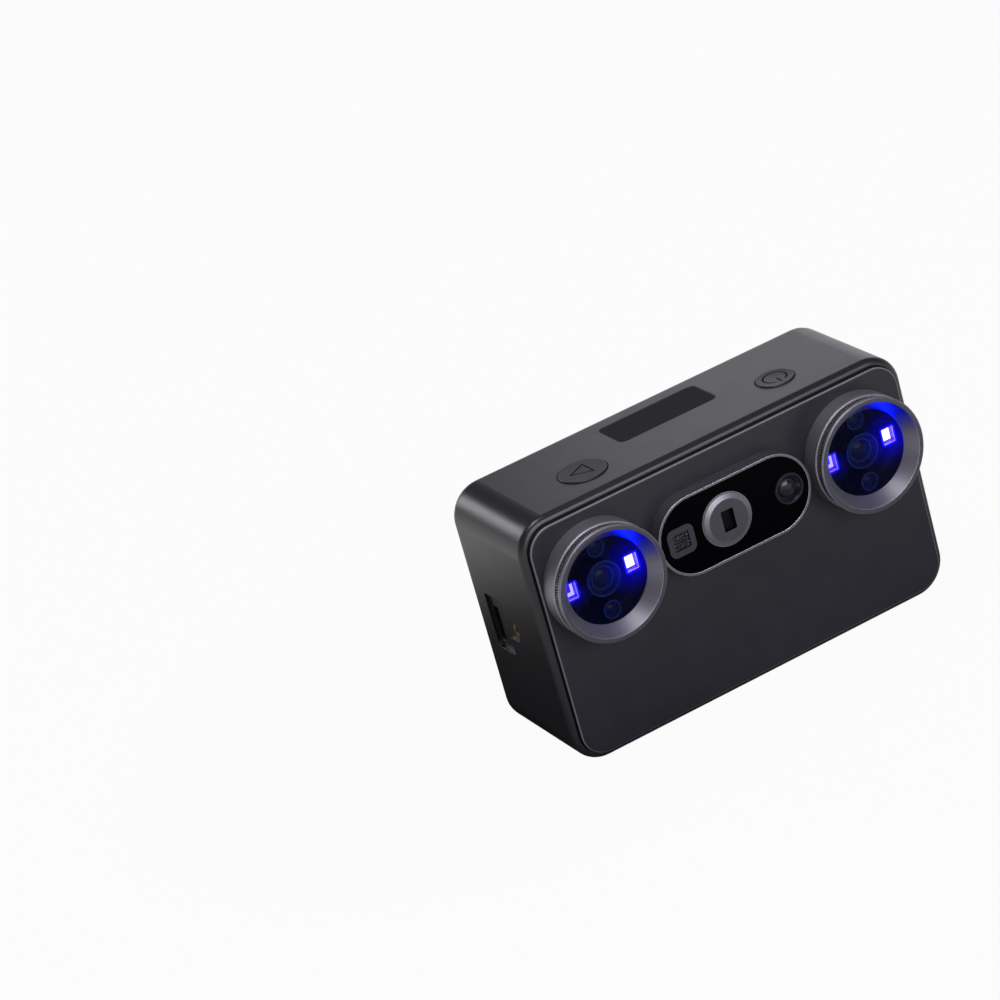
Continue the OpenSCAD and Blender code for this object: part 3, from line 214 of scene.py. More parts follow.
def lathe_turned(name, deep, pale, rough, bare, **values):
    """Turned and blasted head metal: faint rings round the head's axis and bare metal on the edges."""
    material, tree, shader, place = blank(name, **values)
    radius = head_radius(tree, place)
    blast = node(tree, "TexNoise", {"Vector": place, "Scale": 1000 / 0.5, "Detail": 2.0}).outputs["Fac"]
    rings = node(tree, "Math", {0: radius, 1: 2 * math.pi / RING_PITCH}, operation="MULTIPLY").outputs[0]
    ridge = node(tree, "Math", {0: rings}, operation="SINE").outputs[0]
    height = node(tree, "Math", {0: ridge, 1: 0.25, 2: blast}, operation="MULTIPLY_ADD").outputs[0]
    cloud = node(tree, "TexNoise", {"Vector": place, "Scale": 1000 / 12, "Detail": 3.0}).outputs["Fac"]
    tone = node(tree, "Mix", {0: cloud, 6: colour(deep), 7: colour(pale)}, data_type="RGBA").outputs[2]
    gloss = node(tree, "MapRange", {"Value": blast, 1: 0.3, 2: 0.7, 3: rough[0], 4: rough[1]}).outputs[0]
    tree.links.new(gloss, shader.inputs["Roughness"])
    soft = node(tree, "Bevel", {"Radius": 0.3 * MM}, samples=6).outputs["Normal"]
    flat = node(tree, "NewGeometry").outputs["Normal"]
    bend = node(tree, "VectorMath", {0: soft, 1: flat}, operation="DOT_PRODUCT").outputs["Value"]
    edge = node(tree, "MapRange", {"Value": bend, 1: 0.99, 2: 0.9}).outputs[0]
    tone = node(tree, "Mix", {0: edge, 6: tone, 7: colour(bare)}, data_type="RGBA").outputs[2]
    tree.links.new(tone, shader.inputs["Base Color"])
    bump = node(tree, "Bump", {"Distance": 0.006 * MM, "Height": height, "Normal": soft})
    tree.links.new(bump.outputs["Normal"], shader.inputs["Normal"])
    return material


# Finishes

def make_finishes():
    made = {}

    # ABS casing sprayed with satin graphite lacquer: a soft sheen with faint orange peel, paler on rubbed
    # edges. The inside of the connector recess is painted near black, as painted shade.
    casing = made["graphite lacquer on ABS"] = moulded(
        "graphite lacquer on ABS", "#19181c", "#1c1b1f", (0.31, 0.34), 0.7, 0.012, worn="#4a494f",
        Specular_IOR_Level=0.4)
    place = node(casing.node_tree, "TexCoord").outputs["Object"]
    socket = middle("usb_socket")
    # Painted shade: near black over the inside of the connector recess
    recess = within(casing.node_tree, place, (0, END + 0.12 * MM, END + 9 * MM),
                    (1, socket.y - 3 * MM, REAR - 11 * MM), (2, socket.z - 10.6 * MM, socket.z + 12.4 * MM))
    paint_over(casing, recess, "#060608")

    # Front plate in near-black satin lacquer: darker than the casing, so the heads stand out from it.
    # Its edge all round is painted pale, as a painted highlight.
    front = made["black satin lacquer on ABS"] = moulded(
        "black satin lacquer on ABS", "#17161c", "#1b1a21", (0.36, 0.44), 0.6, 0.012, worn="#5a5862",
        Specular_IOR_Level=0.32)
    tree = front.node_tree
    # Painted highlight: pale paint where the plate's edge turns away from the front
    rounded = node(tree, "Math", {0: facing_front(tree, 0.25, 0.5), 1: facing_front(tree, 0.95, 0.8)},
                   operation="MULTIPLY")
    paint_over(front, rounded.outputs[0], "#626167")

    # Rear plate in the casing's lacquer, one tone paler
    made["grey satin lacquer on ABS"] = moulded(
        "grey satin lacquer on ABS", "#434248", "#49484e", (0.35, 0.4), 0.7, 0.012, worn="#6f6e74",
        Specular_IOR_Level=0.4)

    # Pale grey ABS of the two sliding bars, satin from the mould. Deeper in their slots: painted shade,
    # black.
    for name in ("mode_switch_knob", "door_latch"):
        bar = made[f"pale grey ABS, {name}"] = moulded(
            f"pale grey ABS, {name}", "#77767b", "#807f84", (0.38, 0.46), 0.5, 0.012, worn="#a09fa4",
            Specular_IOR_Level=0.4)
        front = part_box(name)[1].x
        place = node(bar.node_tree, "TexCoord").outputs["Object"]
        # Painted shade: near black more than 0.7 mm behind each bar's front
        paint_over(bar, within(bar.node_tree, place, (0, 0, front - 0.7 * MM)), "#0a0a0c")

    # Spark-eroded black ABS: matt, with a coarse grain that breaks every reflection
    made["spark-eroded black ABS"] = moulded(
        "spark-eroded black ABS", "#0b0b0d", "#131316", (0.5, 0.68), 0.4, 0.03, worn="#2c2c30",
        Specular_IOR_Level=0.4)

    # Charcoal ABS of the grilles: matt, so the holes read as a tone
    made["charcoal ABS"] = moulded(
        "charcoal ABS", "#17171a", "#1e1e22", (0.5, 0.65), 0.4, 0.02, worn="#4a4a50", Specular_IOR_Level=0.4)

    # Silicone rubber of the strap plug: black, soft and nearly without shine
    made["black silicone rubber"] = moulded(
        "black silicone rubber", "#08080a", "#101012", (0.7, 0.85), 0.5, 0.03, Specular_IOR_Level=0.25)

    # Battery in a shrunk PVC sleeve: smooth dark grey with a low plastic shine
    made["shrunk PVC sleeve"] = moulded(
        "shrunk PVC sleeve", "#26272c", "#303138", (0.25, 0.4), 2.5, 0.06, Specular_IOR_Level=0.5)

    # Anodised aluminium of the bezel: satin, with a thin gleam along its rim
    made["graphite anodised aluminium"] = lathe_turned(
        "graphite anodised aluminium", "#5f5e67", "#6b6a73", (0.34, 0.42), "#c4c3ca", Metallic=0.85)

    # Bead-blasted anodised aluminium of the heads: paler and duller, so the cone shows one broad, soft gleam
    # The flat lip in front is painted darker, as painted shade.
    heads = made["bead-blasted aluminium"] = lathe_turned(
        "bead-blasted aluminium", "#76747d", "#828089", (0.42, 0.5), "#c4c3ca", Metallic=0.9)
    # The same on the smooth tube behind the knurl, where the blasting was finer and left it paler
    made["fine-blasted aluminium"] = lathe_turned(
        "fine-blasted aluminium", "#878690", "#93929c", (0.42, 0.5), "#c4c3ca", Metallic=0.9)
    tree = heads.node_tree
    # Painted shade: darker on the faces that turn to the front
    paint_over(heads, facing_front(tree, 0.9, 0.97), "#4c4a54")
    # Blue spill of the bright light on the upper inside of each hood, painted over what the small lamp gives
    normal = node(tree, "NewGeometry").outputs["Normal"]
    turn = node(tree, "VectorMath", {0: normal, 1: (-0.55, -0.45, -0.7)},
                operation="DOT_PRODUCT").outputs["Value"]
    upper = node(tree, "MapRange", {"Value": turn, 1: 0.74, 2: 0.95}).outputs[0]
    radius = head_radius(tree, node(tree, "TexCoord").outputs["Object"])
    inner = node(tree, "MapRange", {"Value": radius, 1: HOOD_INNER_R + 0.1 * MM,
                                    2: HOOD_INNER_R - 0.1 * MM}).outputs[0]
    paint_over(heads, node(tree, "Math", {0: upper, 1: inner}, operation="MULTIPLY").outputs[0], "#0a28c0")

    # Black anodised aluminium of the knurled rings: dark, with bright tips on the teeth
    made["black anodised aluminium"] = lathe_turned(
        "black anodised aluminium", "#2c2c30", "#38383c", (0.22, 0.3), "#d0d0d6", Metallic=0.9)

    # Black nickel plate of the socket's shell: nearly black, with a thin gleam along its lip
    made["black nickel plate"] = metal(
        "black nickel plate", "#222225", "#2c2c30", (0.3, 0.42), (1, 1, 1), 0.4, 0.006, Metallic=0.8)

    # Stainless steel turned on a lathe: bright, with hairlines round the axis
    made["turned stainless steel"] = metal(
        "turned stainless steel", "#b2b3b6", "#d6d7da", (0.16, 0.3), (1, 1, 6), 0.5, 0.004, Metallic=1.0)

    # Brass insert: warm yellow with a dull, slightly tarnished skin
    made["plain brass"] = metal(
        "plain brass", "#8a734a", "#a08658", (0.34, 0.48), (1, 1, 1), 0.6, 0.006, Metallic=1.0)

    # Rolled aluminium of the inner bench and heat sink: pale, with long rolling lines
    made["rolled aluminium"] = metal(
        "rolled aluminium", "#a3a4a7", "#c2c3c6", (0.3, 0.45), (0.05, 1, 1), 0.5, 0.005, Metallic=1.0)
    return made


def solder_resist(name, deep, pale):
    """Circuit board: glossy solder resist over copper tracks, seen as a slightly raised, paler grid."""
    material, tree, shader, place = blank(name, Roughness=0.32)
    tracks = node(tree, "TexBrick", {"Vector": place, "Color1": (1, 1, 1, 1), "Color2": (0.7, 0.7, 0.7, 1),
                                     "Mortar": (0, 0, 0, 1), "Scale": 1000 / 6, "Mortar Size": 0.06})
    tone = node(tree, "Mix", {0: tracks.outputs["Fac"], 6: colour(deep), 7: colour(pale)}, data_type="RGBA")
    tree.links.new(tone.outputs[2], shader.inputs["Base Color"])
    bump = node(tree, "Bump", {"Distance": 0.03 * MM, "Height": tracks.outputs["Fac"]})
    tree.links.new(bump.outputs["Normal"], shader.inputs["Normal"])
    return material


def filter_glass():
    """Dyed filter glass of the heads: nearly black, shows the lenses, with a painted blue glow round each
    light.
    """
    material, tree, shader, place = blank("dyed filter glass", Specular_IOR_Level=0.05, IOR=1.52, Alpha=0.45,
                                          Emission_Strength=1.0)
    dye = node(tree, "TexNoise", {"Vector": place, "Scale": 1000 / 14, "Detail": 2.0}).outputs["Fac"]
    tone = node(tree, "Mix", {0: dye, 6: colour("#000004"), 7: colour("#01020a")},
                data_type="RGBA").outputs[2]
    tree.links.new(tone, shader.inputs["Base Color"])
    film = node(tree, "MapRange", {"Value": dye, 3: 0.02, 4: 0.07}).outputs[0]
    tree.links.new(film, shader.inputs["Roughness"])
    part = node(tree, "SeparateXYZ", {0: place})
    side = node(tree, "Math", {0: part.outputs[0]}, operation="SIGN").outputs[0]
    axis = node(tree, "Math", {0: side, 1: HEAD_X}, operation="MULTIPLY").outputs[0]
    across = node(tree, "Math", {0: part.outputs[0], 1: axis}, operation="SUBTRACT").outputs[0]
    seat = node(tree, "CombineXYZ", {0: across, 2: part.outputs[2]}).outputs[0]
    glow = None
    # Painted glow: blue emission in the glass, fading out from each light
    painted_glow_pools = ((11.5, 2, 15, 0.5), (12.5, 0.5, 8, 0.45), (-LIGHT_OFF / MM, 0, 7, 0.25))
    for light_x, light_up, reach, level in painted_glow_pools:
        far = distance(tree, seat, (light_x * MM, 0, HEAD_Z + light_up * MM), (1, 0, 1))
        fade = node(tree, "MapRange", {"Value": far, 1: reach * MM, 2: 0.0, 3: 0.004, 4: level},
                    interpolation_type="SMOOTHERSTEP").outputs[0]
        glow = fade if glow is None else node(tree, "Math", {0: glow, 1: fade}, operation="ADD").outputs[0]
    lit = node(tree, "Mix", {0: glow, 6: (0, 0, 0, 1), 7: colour("#0600d8")}, data_type="RGBA").outputs[2]
    tree.links.new(lit, shader.inputs["Emission Color"])
    return material


def coated_black_glass():
    """Coated black cover glass of the projector window: deep black, mirror smooth, with little glare."""
    material, tree, shader, place = blank("coated black glass", Specular_IOR_Level=0.02, IOR=1.52)
    film = node(tree, "TexNoise", {"Vector": place, "Scale": 1000 / 18, "Detail": 4.0}).outputs["Fac"]
    tone = node(tree, "Mix", {0: film, 6: colour("#000001"), 7: colour("#020204")},
                data_type="RGBA").outputs[2]
    tree.links.new(tone, shader.inputs["Base Color"])
    gloss = node(tree, "MapRange", {"Value": film, 3: 0.03, 4: 0.1}).outputs[0]
    tree.links.new(gloss, shader.inputs["Roughness"])
    return material


def screen_glass():
    """Cover glass of the screen: black border, and the dark display showing a tone paler through it."""
    material, tree, shader, place = blank("screen cover glass", Specular_IOR_Level=0.35, IOR=1.52)
    inside = within(tree, place, *SCREEN_AREA, blur=0.15 * MM)
    smear = node(tree, "TexNoise", {"Vector": place, "Scale": 1000 / 22, "Detail": 5.0}).outputs["Fac"]
    display = node(tree, "Mix", {0: smear, 6: colour("#1e1e20"), 7: colour("#232326")},
                   data_type="RGBA").outputs[2]
    tone = node(tree, "Mix", {0: inside, 6: colour("#0d0d0f"), 7: display}, data_type="RGBA").outputs[2]
    tree.links.new(tone, shader.inputs["Base Color"])
    gloss = node(tree, "MapRange", {"Value": smear, 3: 0.05, 4: 0.16}).outputs[0]
    tree.links.new(gloss, shader.inputs["Roughness"])
    return material


def button_lacquer(cap, dish):
    """A button cap in the casing's lacquer: black in the sign and down the sides, a dish for the finger."""
    material = moulded(f"graphite lacquer with filled sign, {dish} mm dish", "#19181c", "#1f1e22",
                       (0.38, 0.46), 0.7, 0.012, worn="#59585e", Specular_IOR_Level=0.3)
    tree = material.node_tree
    shader = tree.nodes["Principled BSDF"]
    place = node(tree, "TexCoord").outputs["Object"]
    low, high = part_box(cap)
    paint_over(material, within(tree, place, (2, 0, high.z - 0.32 * MM), blur=0.02 * MM), "#070709")
    radius = distance(tree, place, (low + high) / 2, (1, 1, 0))
    reach = node(tree, "Math", {0: radius, 1: (high.x - low.x) / 2}, operation="DIVIDE").outputs[0]
    face = node(tree, "MapRange", {"Value": reach, 1: 0.84, 2: 0.8}).outputs[0]
    under = within(tree, place, (2, 0, high.z - 0.05 * MM), blur=0.01 * MM)
    sign = node(tree, "Math", {0: face, 1: under}, operation="MULTIPLY").outputs[0]
    paint_over(material, sign, "#040405")
    gloss = shader.inputs["Roughness"].links[0].from_socket
    matt = node(tree, "Mix", {0: sign, 2: gloss, 3: 0.95}).outputs[0]
    tree.links.new(matt, shader.inputs["Roughness"])
    hollow = node(tree, "Math", {0: reach, 1: 2.0}, operation="POWER").outputs[0]
    above = shader.inputs["Normal"].links[0].from_socket
    bump = node(tree, "Bump", {"Distance": dish * MM, "Height": hollow, "Normal": above})
    tree.links.new(bump.outputs["Normal"], shader.inputs["Normal"])
    return material


def slotted_nickel():
    """Satin nickel plate of the round projector: a plain grey bloom, with a black slot."""
    material = metal("satin nickel plate with black slot", "#434247", "#4e4d53", (0.36, 0.46), (1, 1, 1),
                     0.4, 0.006, Metallic=0.75, Specular_IOR_Level=0.08)
    tree = material.node_tree
    place = node(tree, "TexCoord").outputs["Object"]
    centre, front = middle("laser_projector"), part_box("laser_projector")[0].y
    slot = within(tree, place, (0, centre.x - SLOT_HALF_W, centre.x + SLOT_HALF_W),
                  (1, front + 0.1 * MM, front + 5 * MM), (2, centre.z - SLOT_HALF_H, centre.z + SLOT_HALF_H))
    # Paler diamond-cut chamfer round the face, which catches the front lamp
    radius = distance(tree, place, centre, (1, 0, 1))
    edge = node(tree, "MapRange", {"Value": radius, 1: LASER_FACE_R - 0.05 * MM,
                                   2: LASER_FACE_R + 0.05 * MM}).outputs[0]
    paint_over(material, edge, "#6c6b71")
    paint_over(material, slot, "#030304")
    grey = node(tree, "Math", {0: 1.0, 1: slot}, operation="SUBTRACT").outputs[0]
    part = node(tree, "Math", {0: grey, 1: 0.75}, operation="MULTIPLY").outputs[0]
    tree.links.new(part, tree.nodes["Principled BSDF"].inputs["Metallic"])
    return material


def framed_nickel():
    """Satin nickel frame of the square projector, with a black well."""
    material = metal("satin nickel plate with black well", "#35343b", "#403f46", (0.4, 0.5), (1, 1, 1),
                     0.4, 0.006, Metallic=0.7, Specular_IOR_Level=0.08)
    tree = material.node_tree
    place = node(tree, "TexCoord").outputs["Object"]
    centre, front = middle("dot_projector"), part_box("dot_projector")[0].y
    well = within(tree, place, (0, centre.x - WELL_HALF, centre.x + WELL_HALF),
                  (1, front + 0.75 * MM, front + 5 * MM), (2, centre.z - WELL_HALF, centre.z + WELL_HALF))
    paint_over(material, well, "#030305")
    grey = node(tree, "Math", {0: 1.0, 1: well}, operation="SUBTRACT").outputs[0]
    part = node(tree, "Math", {0: grey, 1: 0.7}, operation="MULTIPLY").outputs[0]
    tree.links.new(part, tree.nodes["Principled BSDF"].inputs["Metallic"])
    return material


def pressed_glass():
    """Pressed micro-lens glass: black and polished, with an uneven face that breaks the lamps into sparks."""
    material, tree, shader, place = blank("pressed micro-lens glass", Specular_IOR_Level=0.45, IOR=1.5)
    cells = node(tree, "TexVoronoi", {"Vector": place, "Scale": 1000 / 0.8})
    tone = node(tree, "Mix", {0: cells.outputs["Distance"], 6: colour("#020204"), 7: colour("#08080c")},
                data_type="RGBA").outputs[2]
    tree.links.new(tone, shader.inputs["Base Color"])
    gloss = node(tree, "MapRange", {"Value": cells.outputs["Distance"], 3: 0.02, 4: 0.05}).outputs[0]
    tree.links.new(gloss, shader.inputs["Roughness"])
    uneven = node(tree, "TexNoise", {"Vector": place, "Scale": 1000 / 1.1, "Detail": 1.0}).outputs["Fac"]
    bump = node(tree, "Bump", {"Distance": 0.45 * MM, "Height": uneven})
    tree.links.new(bump.outputs["Normal"], shader.inputs["Normal"])
    return material


def lens_barrel_black(name, painted_glow_code, coat):
    """Black lens barrels with a coated front glass: dark rings, a painted bluish sheen that deepens to the
    middle, and a painted glow on the front glass.
    """
    material, tree, shader, place = blank(name, Coat_Weight=coat, Coat_Roughness=0.03,
                                          Specular_IOR_Level=0.25, Emission_Color=colour(painted_glow_code))
    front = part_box("camera_lens_left")[0].y
    glass = within(tree, place, (1, front - MM, front + 2.6 * MM), blur=0.3 * MM)
    # Painted glow: emission on the front glass where it faces forward
    lit = node(tree, "Math", {0: glass, 1: facing_front(tree, 0.2, 0.6)}, operation="MULTIPLY").outputs[0]
    tree.links.new(lit, shader.inputs["Emission Strength"])
    # Painted sheen: bluish towards the grazing edges, dark in the middle
    painted_sheen = node(tree, "LayerWeight", {"Blend": 0.45}).outputs["Facing"]
    speck = node(tree, "TexNoise", {"Vector": place, "Scale": 1000 / 1.5, "Detail": 2.0}).outputs["Fac"]
    deep = node(tree, "Mix", {0: speck, 6: colour("#07070c"), 7: colour("#101018")},
                data_type="RGBA").outputs[2]
    tone = node(tree, "Mix", {0: painted_sheen, 6: deep, 7: colour("#1b2036")}, data_type="RGBA").outputs[2]
    tree.links.new(tone, shader.inputs["Base Color"])
    gloss = node(tree, "MapRange", {"Value": speck, 3: 0.12, 4: 0.3}).outputs[0]
    tree.links.new(gloss, shader.inputs["Roughness"])
    return material


def glowing(name, deep, pale, strength):
    """Emission in the colour of the light, stronger towards the middle of its grain: the lit dies' own light,
    and painted glow on cup walls, rims and lens rings.
    """
    material, tree, shader, place = blank(name, Roughness=0.4, Emission_Strength=strength)
    grain = node(tree, "TexNoise", {"Vector": place, "Scale": 1000 / 1.2, "Detail": 2.0}).outputs["Fac"]
    tone = node(tree, "Mix", {0: grain, 6: colour(deep), 7: colour(pale)}, data_type="RGBA").outputs[2]
    tree.links.new(tone, shader.inputs["Base Color"])
    tree.links.new(tone, shader.inputs["Emission Color"])
    return material


def woven_mesh():
    """Black polyester mesh over the vent, drawn coarser than the real cloth, so that it shows."""
    material, tree, shader, place = blank("woven polyester mesh", Specular_IOR_Level=0.1)
    turned = node(tree, "Mapping", {"Vector": place, "Rotation": (0, 0, math.radians(45))}).outputs[0]
    part = node(tree, "SeparateXYZ", {0: turned})
    waves = []
    for axis in (0, 1):
        phase = node(tree, "Math", {0: part.outputs[axis], 1: 2 * math.pi / WEAVE_PITCH},
                     operation="MULTIPLY")
        waves.append(node(tree, "Math", {0: phase.outputs[0]}, operation="SINE").outputs[0])
    weave = node(tree, "Math", {0: waves[0], 1: waves[1]}, operation="MULTIPLY").outputs[0]
    dust = node(tree, "TexNoise", {"Vector": place, "Scale": 1000 / 7, "Detail": 3.0}).outputs["Fac"]
    lifted = node(tree, "MapRange", {"Value": weave, 1: -1.0, 2: 1.0}).outputs[0]
    thread = node(tree, "Mix", {0: dust, 6: colour("#202023"), 7: colour("#28282c")},
                  data_type="RGBA").outputs[2]
    tone = node(tree, "Mix", {0: lifted, 6: colour("#101013"), 7: thread}, data_type="RGBA").outputs[2]
    tree.links.new(tone, shader.inputs["Base Color"])
    gloss = node(tree, "MapRange", {"Value": dust, 3: 0.8, 4: 0.95}).outputs[0]
    tree.links.new(gloss, shader.inputs["Roughness"])
    bump = node(tree, "Bump", {"Distance": 0.05 * MM, "Height": weave})
    tree.links.new(bump.outputs["Normal"], shader.inputs["Normal"])
    return material


# Modelling by hand

def begin():
    """Nothing selected, in object mode."""
    if bpy.context.object and bpy.context.object.mode != "OBJECT":
        bpy.ops.object.mode_set(mode="OBJECT")
    bpy.ops.object.select_all(action="DESELECT")


def named(name):
    """The new primitive gets its name, and its place goes into its mesh."""
    piece = bpy.context.object
    piece.name = piece.data.name = name
    bpy.ops.object.transform_apply(location=True, rotation=True, scale=True)
    return piece


def pick(piece, test):
    """Select the faces whose centre and normal pass the test, and stay in edit mode."""
    bpy.ops.object.mode_set(mode="EDIT")
    bpy.ops.mesh.select_mode(type="FACE")
    bpy.ops.mesh.select_all(action="DESELECT")
    bpy.ops.object.mode_set(mode="OBJECT")
    for face in piece.data.polygons:
        face.select = test(face.center, face.normal)
    bpy.ops.object.mode_set(mode="EDIT")


def pick_edges(piece, test):
    """Select the edges whose two ends pass the test, and stay in edit mode."""
    bpy.ops.object.mode_set(mode="EDIT")
    bpy.ops.mesh.select_mode(type="EDGE")
    bpy.ops.mesh.select_all(action="DESELECT")
    bpy.ops.object.mode_set(mode="OBJECT")
    points = piece.data.vertices
    for edge in piece.data.edges:
        edge.select = test(*(points[i].co for i in edge.vertices))
    bpy.ops.object.mode_set(mode="EDIT")


def push(offset):
    bpy.ops.mesh.extrude_region_move(TRANSFORM_OT_translate={"value": offset})


def slab(name, low, high):
    """A box between two corners."""
    begin()
    bpy.ops.mesh.primitive_cube_add(size=1, location=(Vector(low) + Vector(high)) / 2)
    bpy.context.object.scale = Vector(high) - Vector(low)
    return named(name)


def soften(piece, width, segments=2):
    """Round the piece's edges."""
    bevel = piece.modifiers.new("soften", "BEVEL")
    bevel.width = width
    bevel.segments = segments
    bevel.limit_method = "ANGLE"
    bevel.angle_limit = math.radians(40)
    bpy.ops.object.modifier_apply(modifier=bevel.name)


def turned(name, profile, centre, axis, across, steps=64):
    """Lathe work: a chain of (radius, height) points in mm is drawn out and spun round the axis."""
    begin()
    points = [Vector(centre) + r * MM * across + h * MM * axis for r, h in profile]
    bpy.ops.mesh.primitive_plane_add(size=MM, location=points[0])
    piece = named(name)
    bpy.ops.object.mode_set(mode="EDIT")
    bpy.ops.mesh.select_mode(type="VERT")
    bpy.ops.mesh.select_all(action="SELECT")
    bpy.ops.mesh.merge(type="CENTER")
    for before, after in zip(points, points[1:]):
        push(after - before)
    bpy.ops.mesh.select_all(action="SELECT")
    bpy.ops.mesh.spin(steps=steps, angle=2 * math.pi, center=centre, axis=axis)
    bpy.ops.mesh.select_all(action="SELECT")
    bpy.ops.mesh.remove_doubles(threshold=0.001 * MM)
    bpy.ops.mesh.normals_make_consistent(inside=False)
    bpy.ops.object.mode_set(mode="OBJECT")
    return piece


def fit(piece, body, slot, *materials, smooth=35):
    """Finish a piece: shading, materials and the body it rides on. slot is not used."""
    begin()
    piece.select_set(True)
    bpy.context.view_layer.objects.active = piece
    bpy.ops.object.shade_smooth_by_angle(angle=math.radians(smooth))
    for material in materials:
        piece.data.materials.append(material)
    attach(piece, body)
    return piece


def copied(piece, name, offset):
    """A copy with its own mesh, moved in its mesh."""
    twin = piece.copy()
    twin.data = piece.data.copy()
    twin.name = twin.data.name = name
    bpy.context.scene.collection.objects.link(twin)
    twin.data.transform(Matrix.Translation(offset))
    return twin


# Small fittings

def light_packages(*finishes):
    """Two small open cups in each head, with finishes for the sides, the rim and three inner bands."""
    for head, axis_x in HEADS:
        low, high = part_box(f"light_emitters_{head}")
        cups = []
        for side in (-1, 1):
            x = axis_x + side * LIGHT_OFF
            cup = slab(f"light_packages_{head}", (x - 3.2 * MM, low.y, low.z), (x + 3.2 * MM, high.y, high.z))
            pick_edges(cup, lambda a, b: abs(a.y - b.y) > MM)
            bpy.ops.mesh.bevel(offset=1.0 * MM, segments=4)
            bpy.ops.object.mode_set(mode="OBJECT")
            pick(cup, lambda c, n: n.y < -0.9)
            bpy.ops.mesh.inset(thickness=0.75 * MM)
            for step in (0.6, 1.6, 0.8):
                push((0, step * MM, 0))
            bpy.ops.object.mode_set(mode="OBJECT")
            cups.append(cup)
        begin()
        for cup in cups:
            cup.select_set(True)
        bpy.context.view_layer.objects.active = cups[0]
        bpy.ops.object.join()
        pair = cups[0]
        fit(pair, "housing", "light", *finishes, smooth=50)
        for face in pair.data.polygons:
            c, n = face.center, face.normal
            outward = (c.x - axis_x - math.copysign(LIGHT_OFF, c.x - axis_x)) * n.x + (c.z - HEAD_Z) * n.z
            depth = (c.y - low.y) / MM
            if n.y < -0.9 and depth < 0.1:
                face.material_index = 1
            elif n.y < 0.5 and outward < 0:
                face.material_index = 2 if depth < 0.6 else 3 if depth < 2.2 else 4
        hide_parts(f"light_emitters_{head}")


def light_dies(bright, mild, base):
    """The lit die on the floor of each cup: a plate with a raised U, the white core of the light."""
    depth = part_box("light_emitters_left")[0].y + 2.9 * MM
    half = Vector((2.2, 0, 2.8)) * MM
    for head, axis_x in HEADS:
        for side, core in ((-1, mild), (1, bright)):
            centre = Vector((axis_x + side * LIGHT_OFF, depth, HEAD_Z))
            where = "inner" if side * axis_x < 0 else "outer"
            thick = 0.05 * MM * Y
            die = slab(f"light_die_{head}_{where}", centre - half - thick, centre + half + thick)
            pick(die, lambda c, n: n.y < -0.9)
            bpy.ops.mesh.subdivide(number_cuts=3)
            bpy.ops.object.mode_set(mode="OBJECT")
            pick(die, lambda c, n: n.y < -0.9 and (abs(c.x - centre.x) > MM or c.z < centre.z - 1.3 * MM))
            push((0, -0.3 * MM, 0))
            bpy.ops.object.mode_set(mode="OBJECT")
            soften(die, 0.08 * MM, 1)
            fit(die, "housing", "light", core, base)
            for face in die.data.polygons:
                face.material_index = 0 if face.center.y < depth - 0.1 * MM or side > 0 else 1


def lens_rings(finish):
    """Slim rings with ground edges hold the front and the inner glass in each barrel."""
    for head, axis_x in HEADS:
        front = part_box(f"camera_lens_{head}")[0].y
        for name, profile in (
            ("front", [(6.9, -0.2), (6.9, 0.1), (6.7, 0.3), (6.35, 0.3), (6.15, 0.05), (6.15, -0.2),
                       (6.9, -0.2)]),
            ("inner", [(4.7, -1.3), (4.5, -1.1), (4.25, -1.1), (4.0, -1.5), (4.1, -1.9), (4.7, -1.3)]),
        ):
            ring = turned(f"camera_ring_{name}_{head}", profile, (axis_x, front, HEAD_Z), -Y, X)
            fit(ring, "housing", "lens", finish)
        profile = [(3.6, -0.2), (3.6, 0.1), (3.45, 0.25), (3.2, 0.25), (3.05, 0.0), (3.05, -0.2), (3.6, -0.2)]
        small = turned(f"infrared_ring_low_{head}", profile, (axis_x, front, HEAD_Z - 12.7 * MM), -Y, X, 48)
        fit(small, "housing", "lens", finish)
        fit(copied(small, f"infrared_ring_high_{head}", (0, 0, 25.4 * MM)), "housing", "lens")


def camera_rings(finish):
    """The small camera's wide retaining ring, and the thin ring round its glass."""
    centre, front = middle("colour_camera"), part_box("colour_camera")[0].y
    seat = (centre.x, front, centre.z)
    profile = [(6.05, -0.2), (6.05, 0.15), (5.85, 0.35), (5.3, 0.35), (5.0, 0.1), (4.85, -0.4), (5.1, -0.5),
               (5.4, -0.2), (6.05, -0.2)]
    fit(turned("colour_camera_ring", profile, seat, -Y, X), "housing", "projector_metal", finish)
    profile = [(3.5, -1.5), (3.3, -1.2), (2.9, -1.1), (2.6, -1.3), (2.55, -1.6), (3.5, -1.5)]
    fit(turned("colour_camera_glass_ring", profile, seat, -Y, X, 48), "housing", "projector_metal", finish)


def dot_lens_array(finish):
    """Grid of small pressed lenses in the square projector's well."""
    centre, front = middle("dot_projector"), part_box("dot_projector")[0].y
    half = 3.3 * MM
    plate = slab("dot_lens_array", (centre.x - half, front + 0.75 * MM, centre.z - half),
                 (centre.x + half, front + 1.0 * MM, centre.z + half))
    pick(plate, lambda c, n: n.y < -0.9)
    bpy.ops.mesh.subdivide(number_cuts=4)
    bpy.ops.object.mode_set(mode="OBJECT")
    pick(plate, lambda c, n: n.y < -0.9)
    bpy.ops.mesh.inset(thickness=0.12 * MM, use_individual=True)
    push((0, -0.35 * MM, 0))
    bpy.ops.object.mode_set(mode="OBJECT")
    soften(plate, 0.28 * MM, 3)
    fit(plate, "housing", "lens", finish, smooth=60)


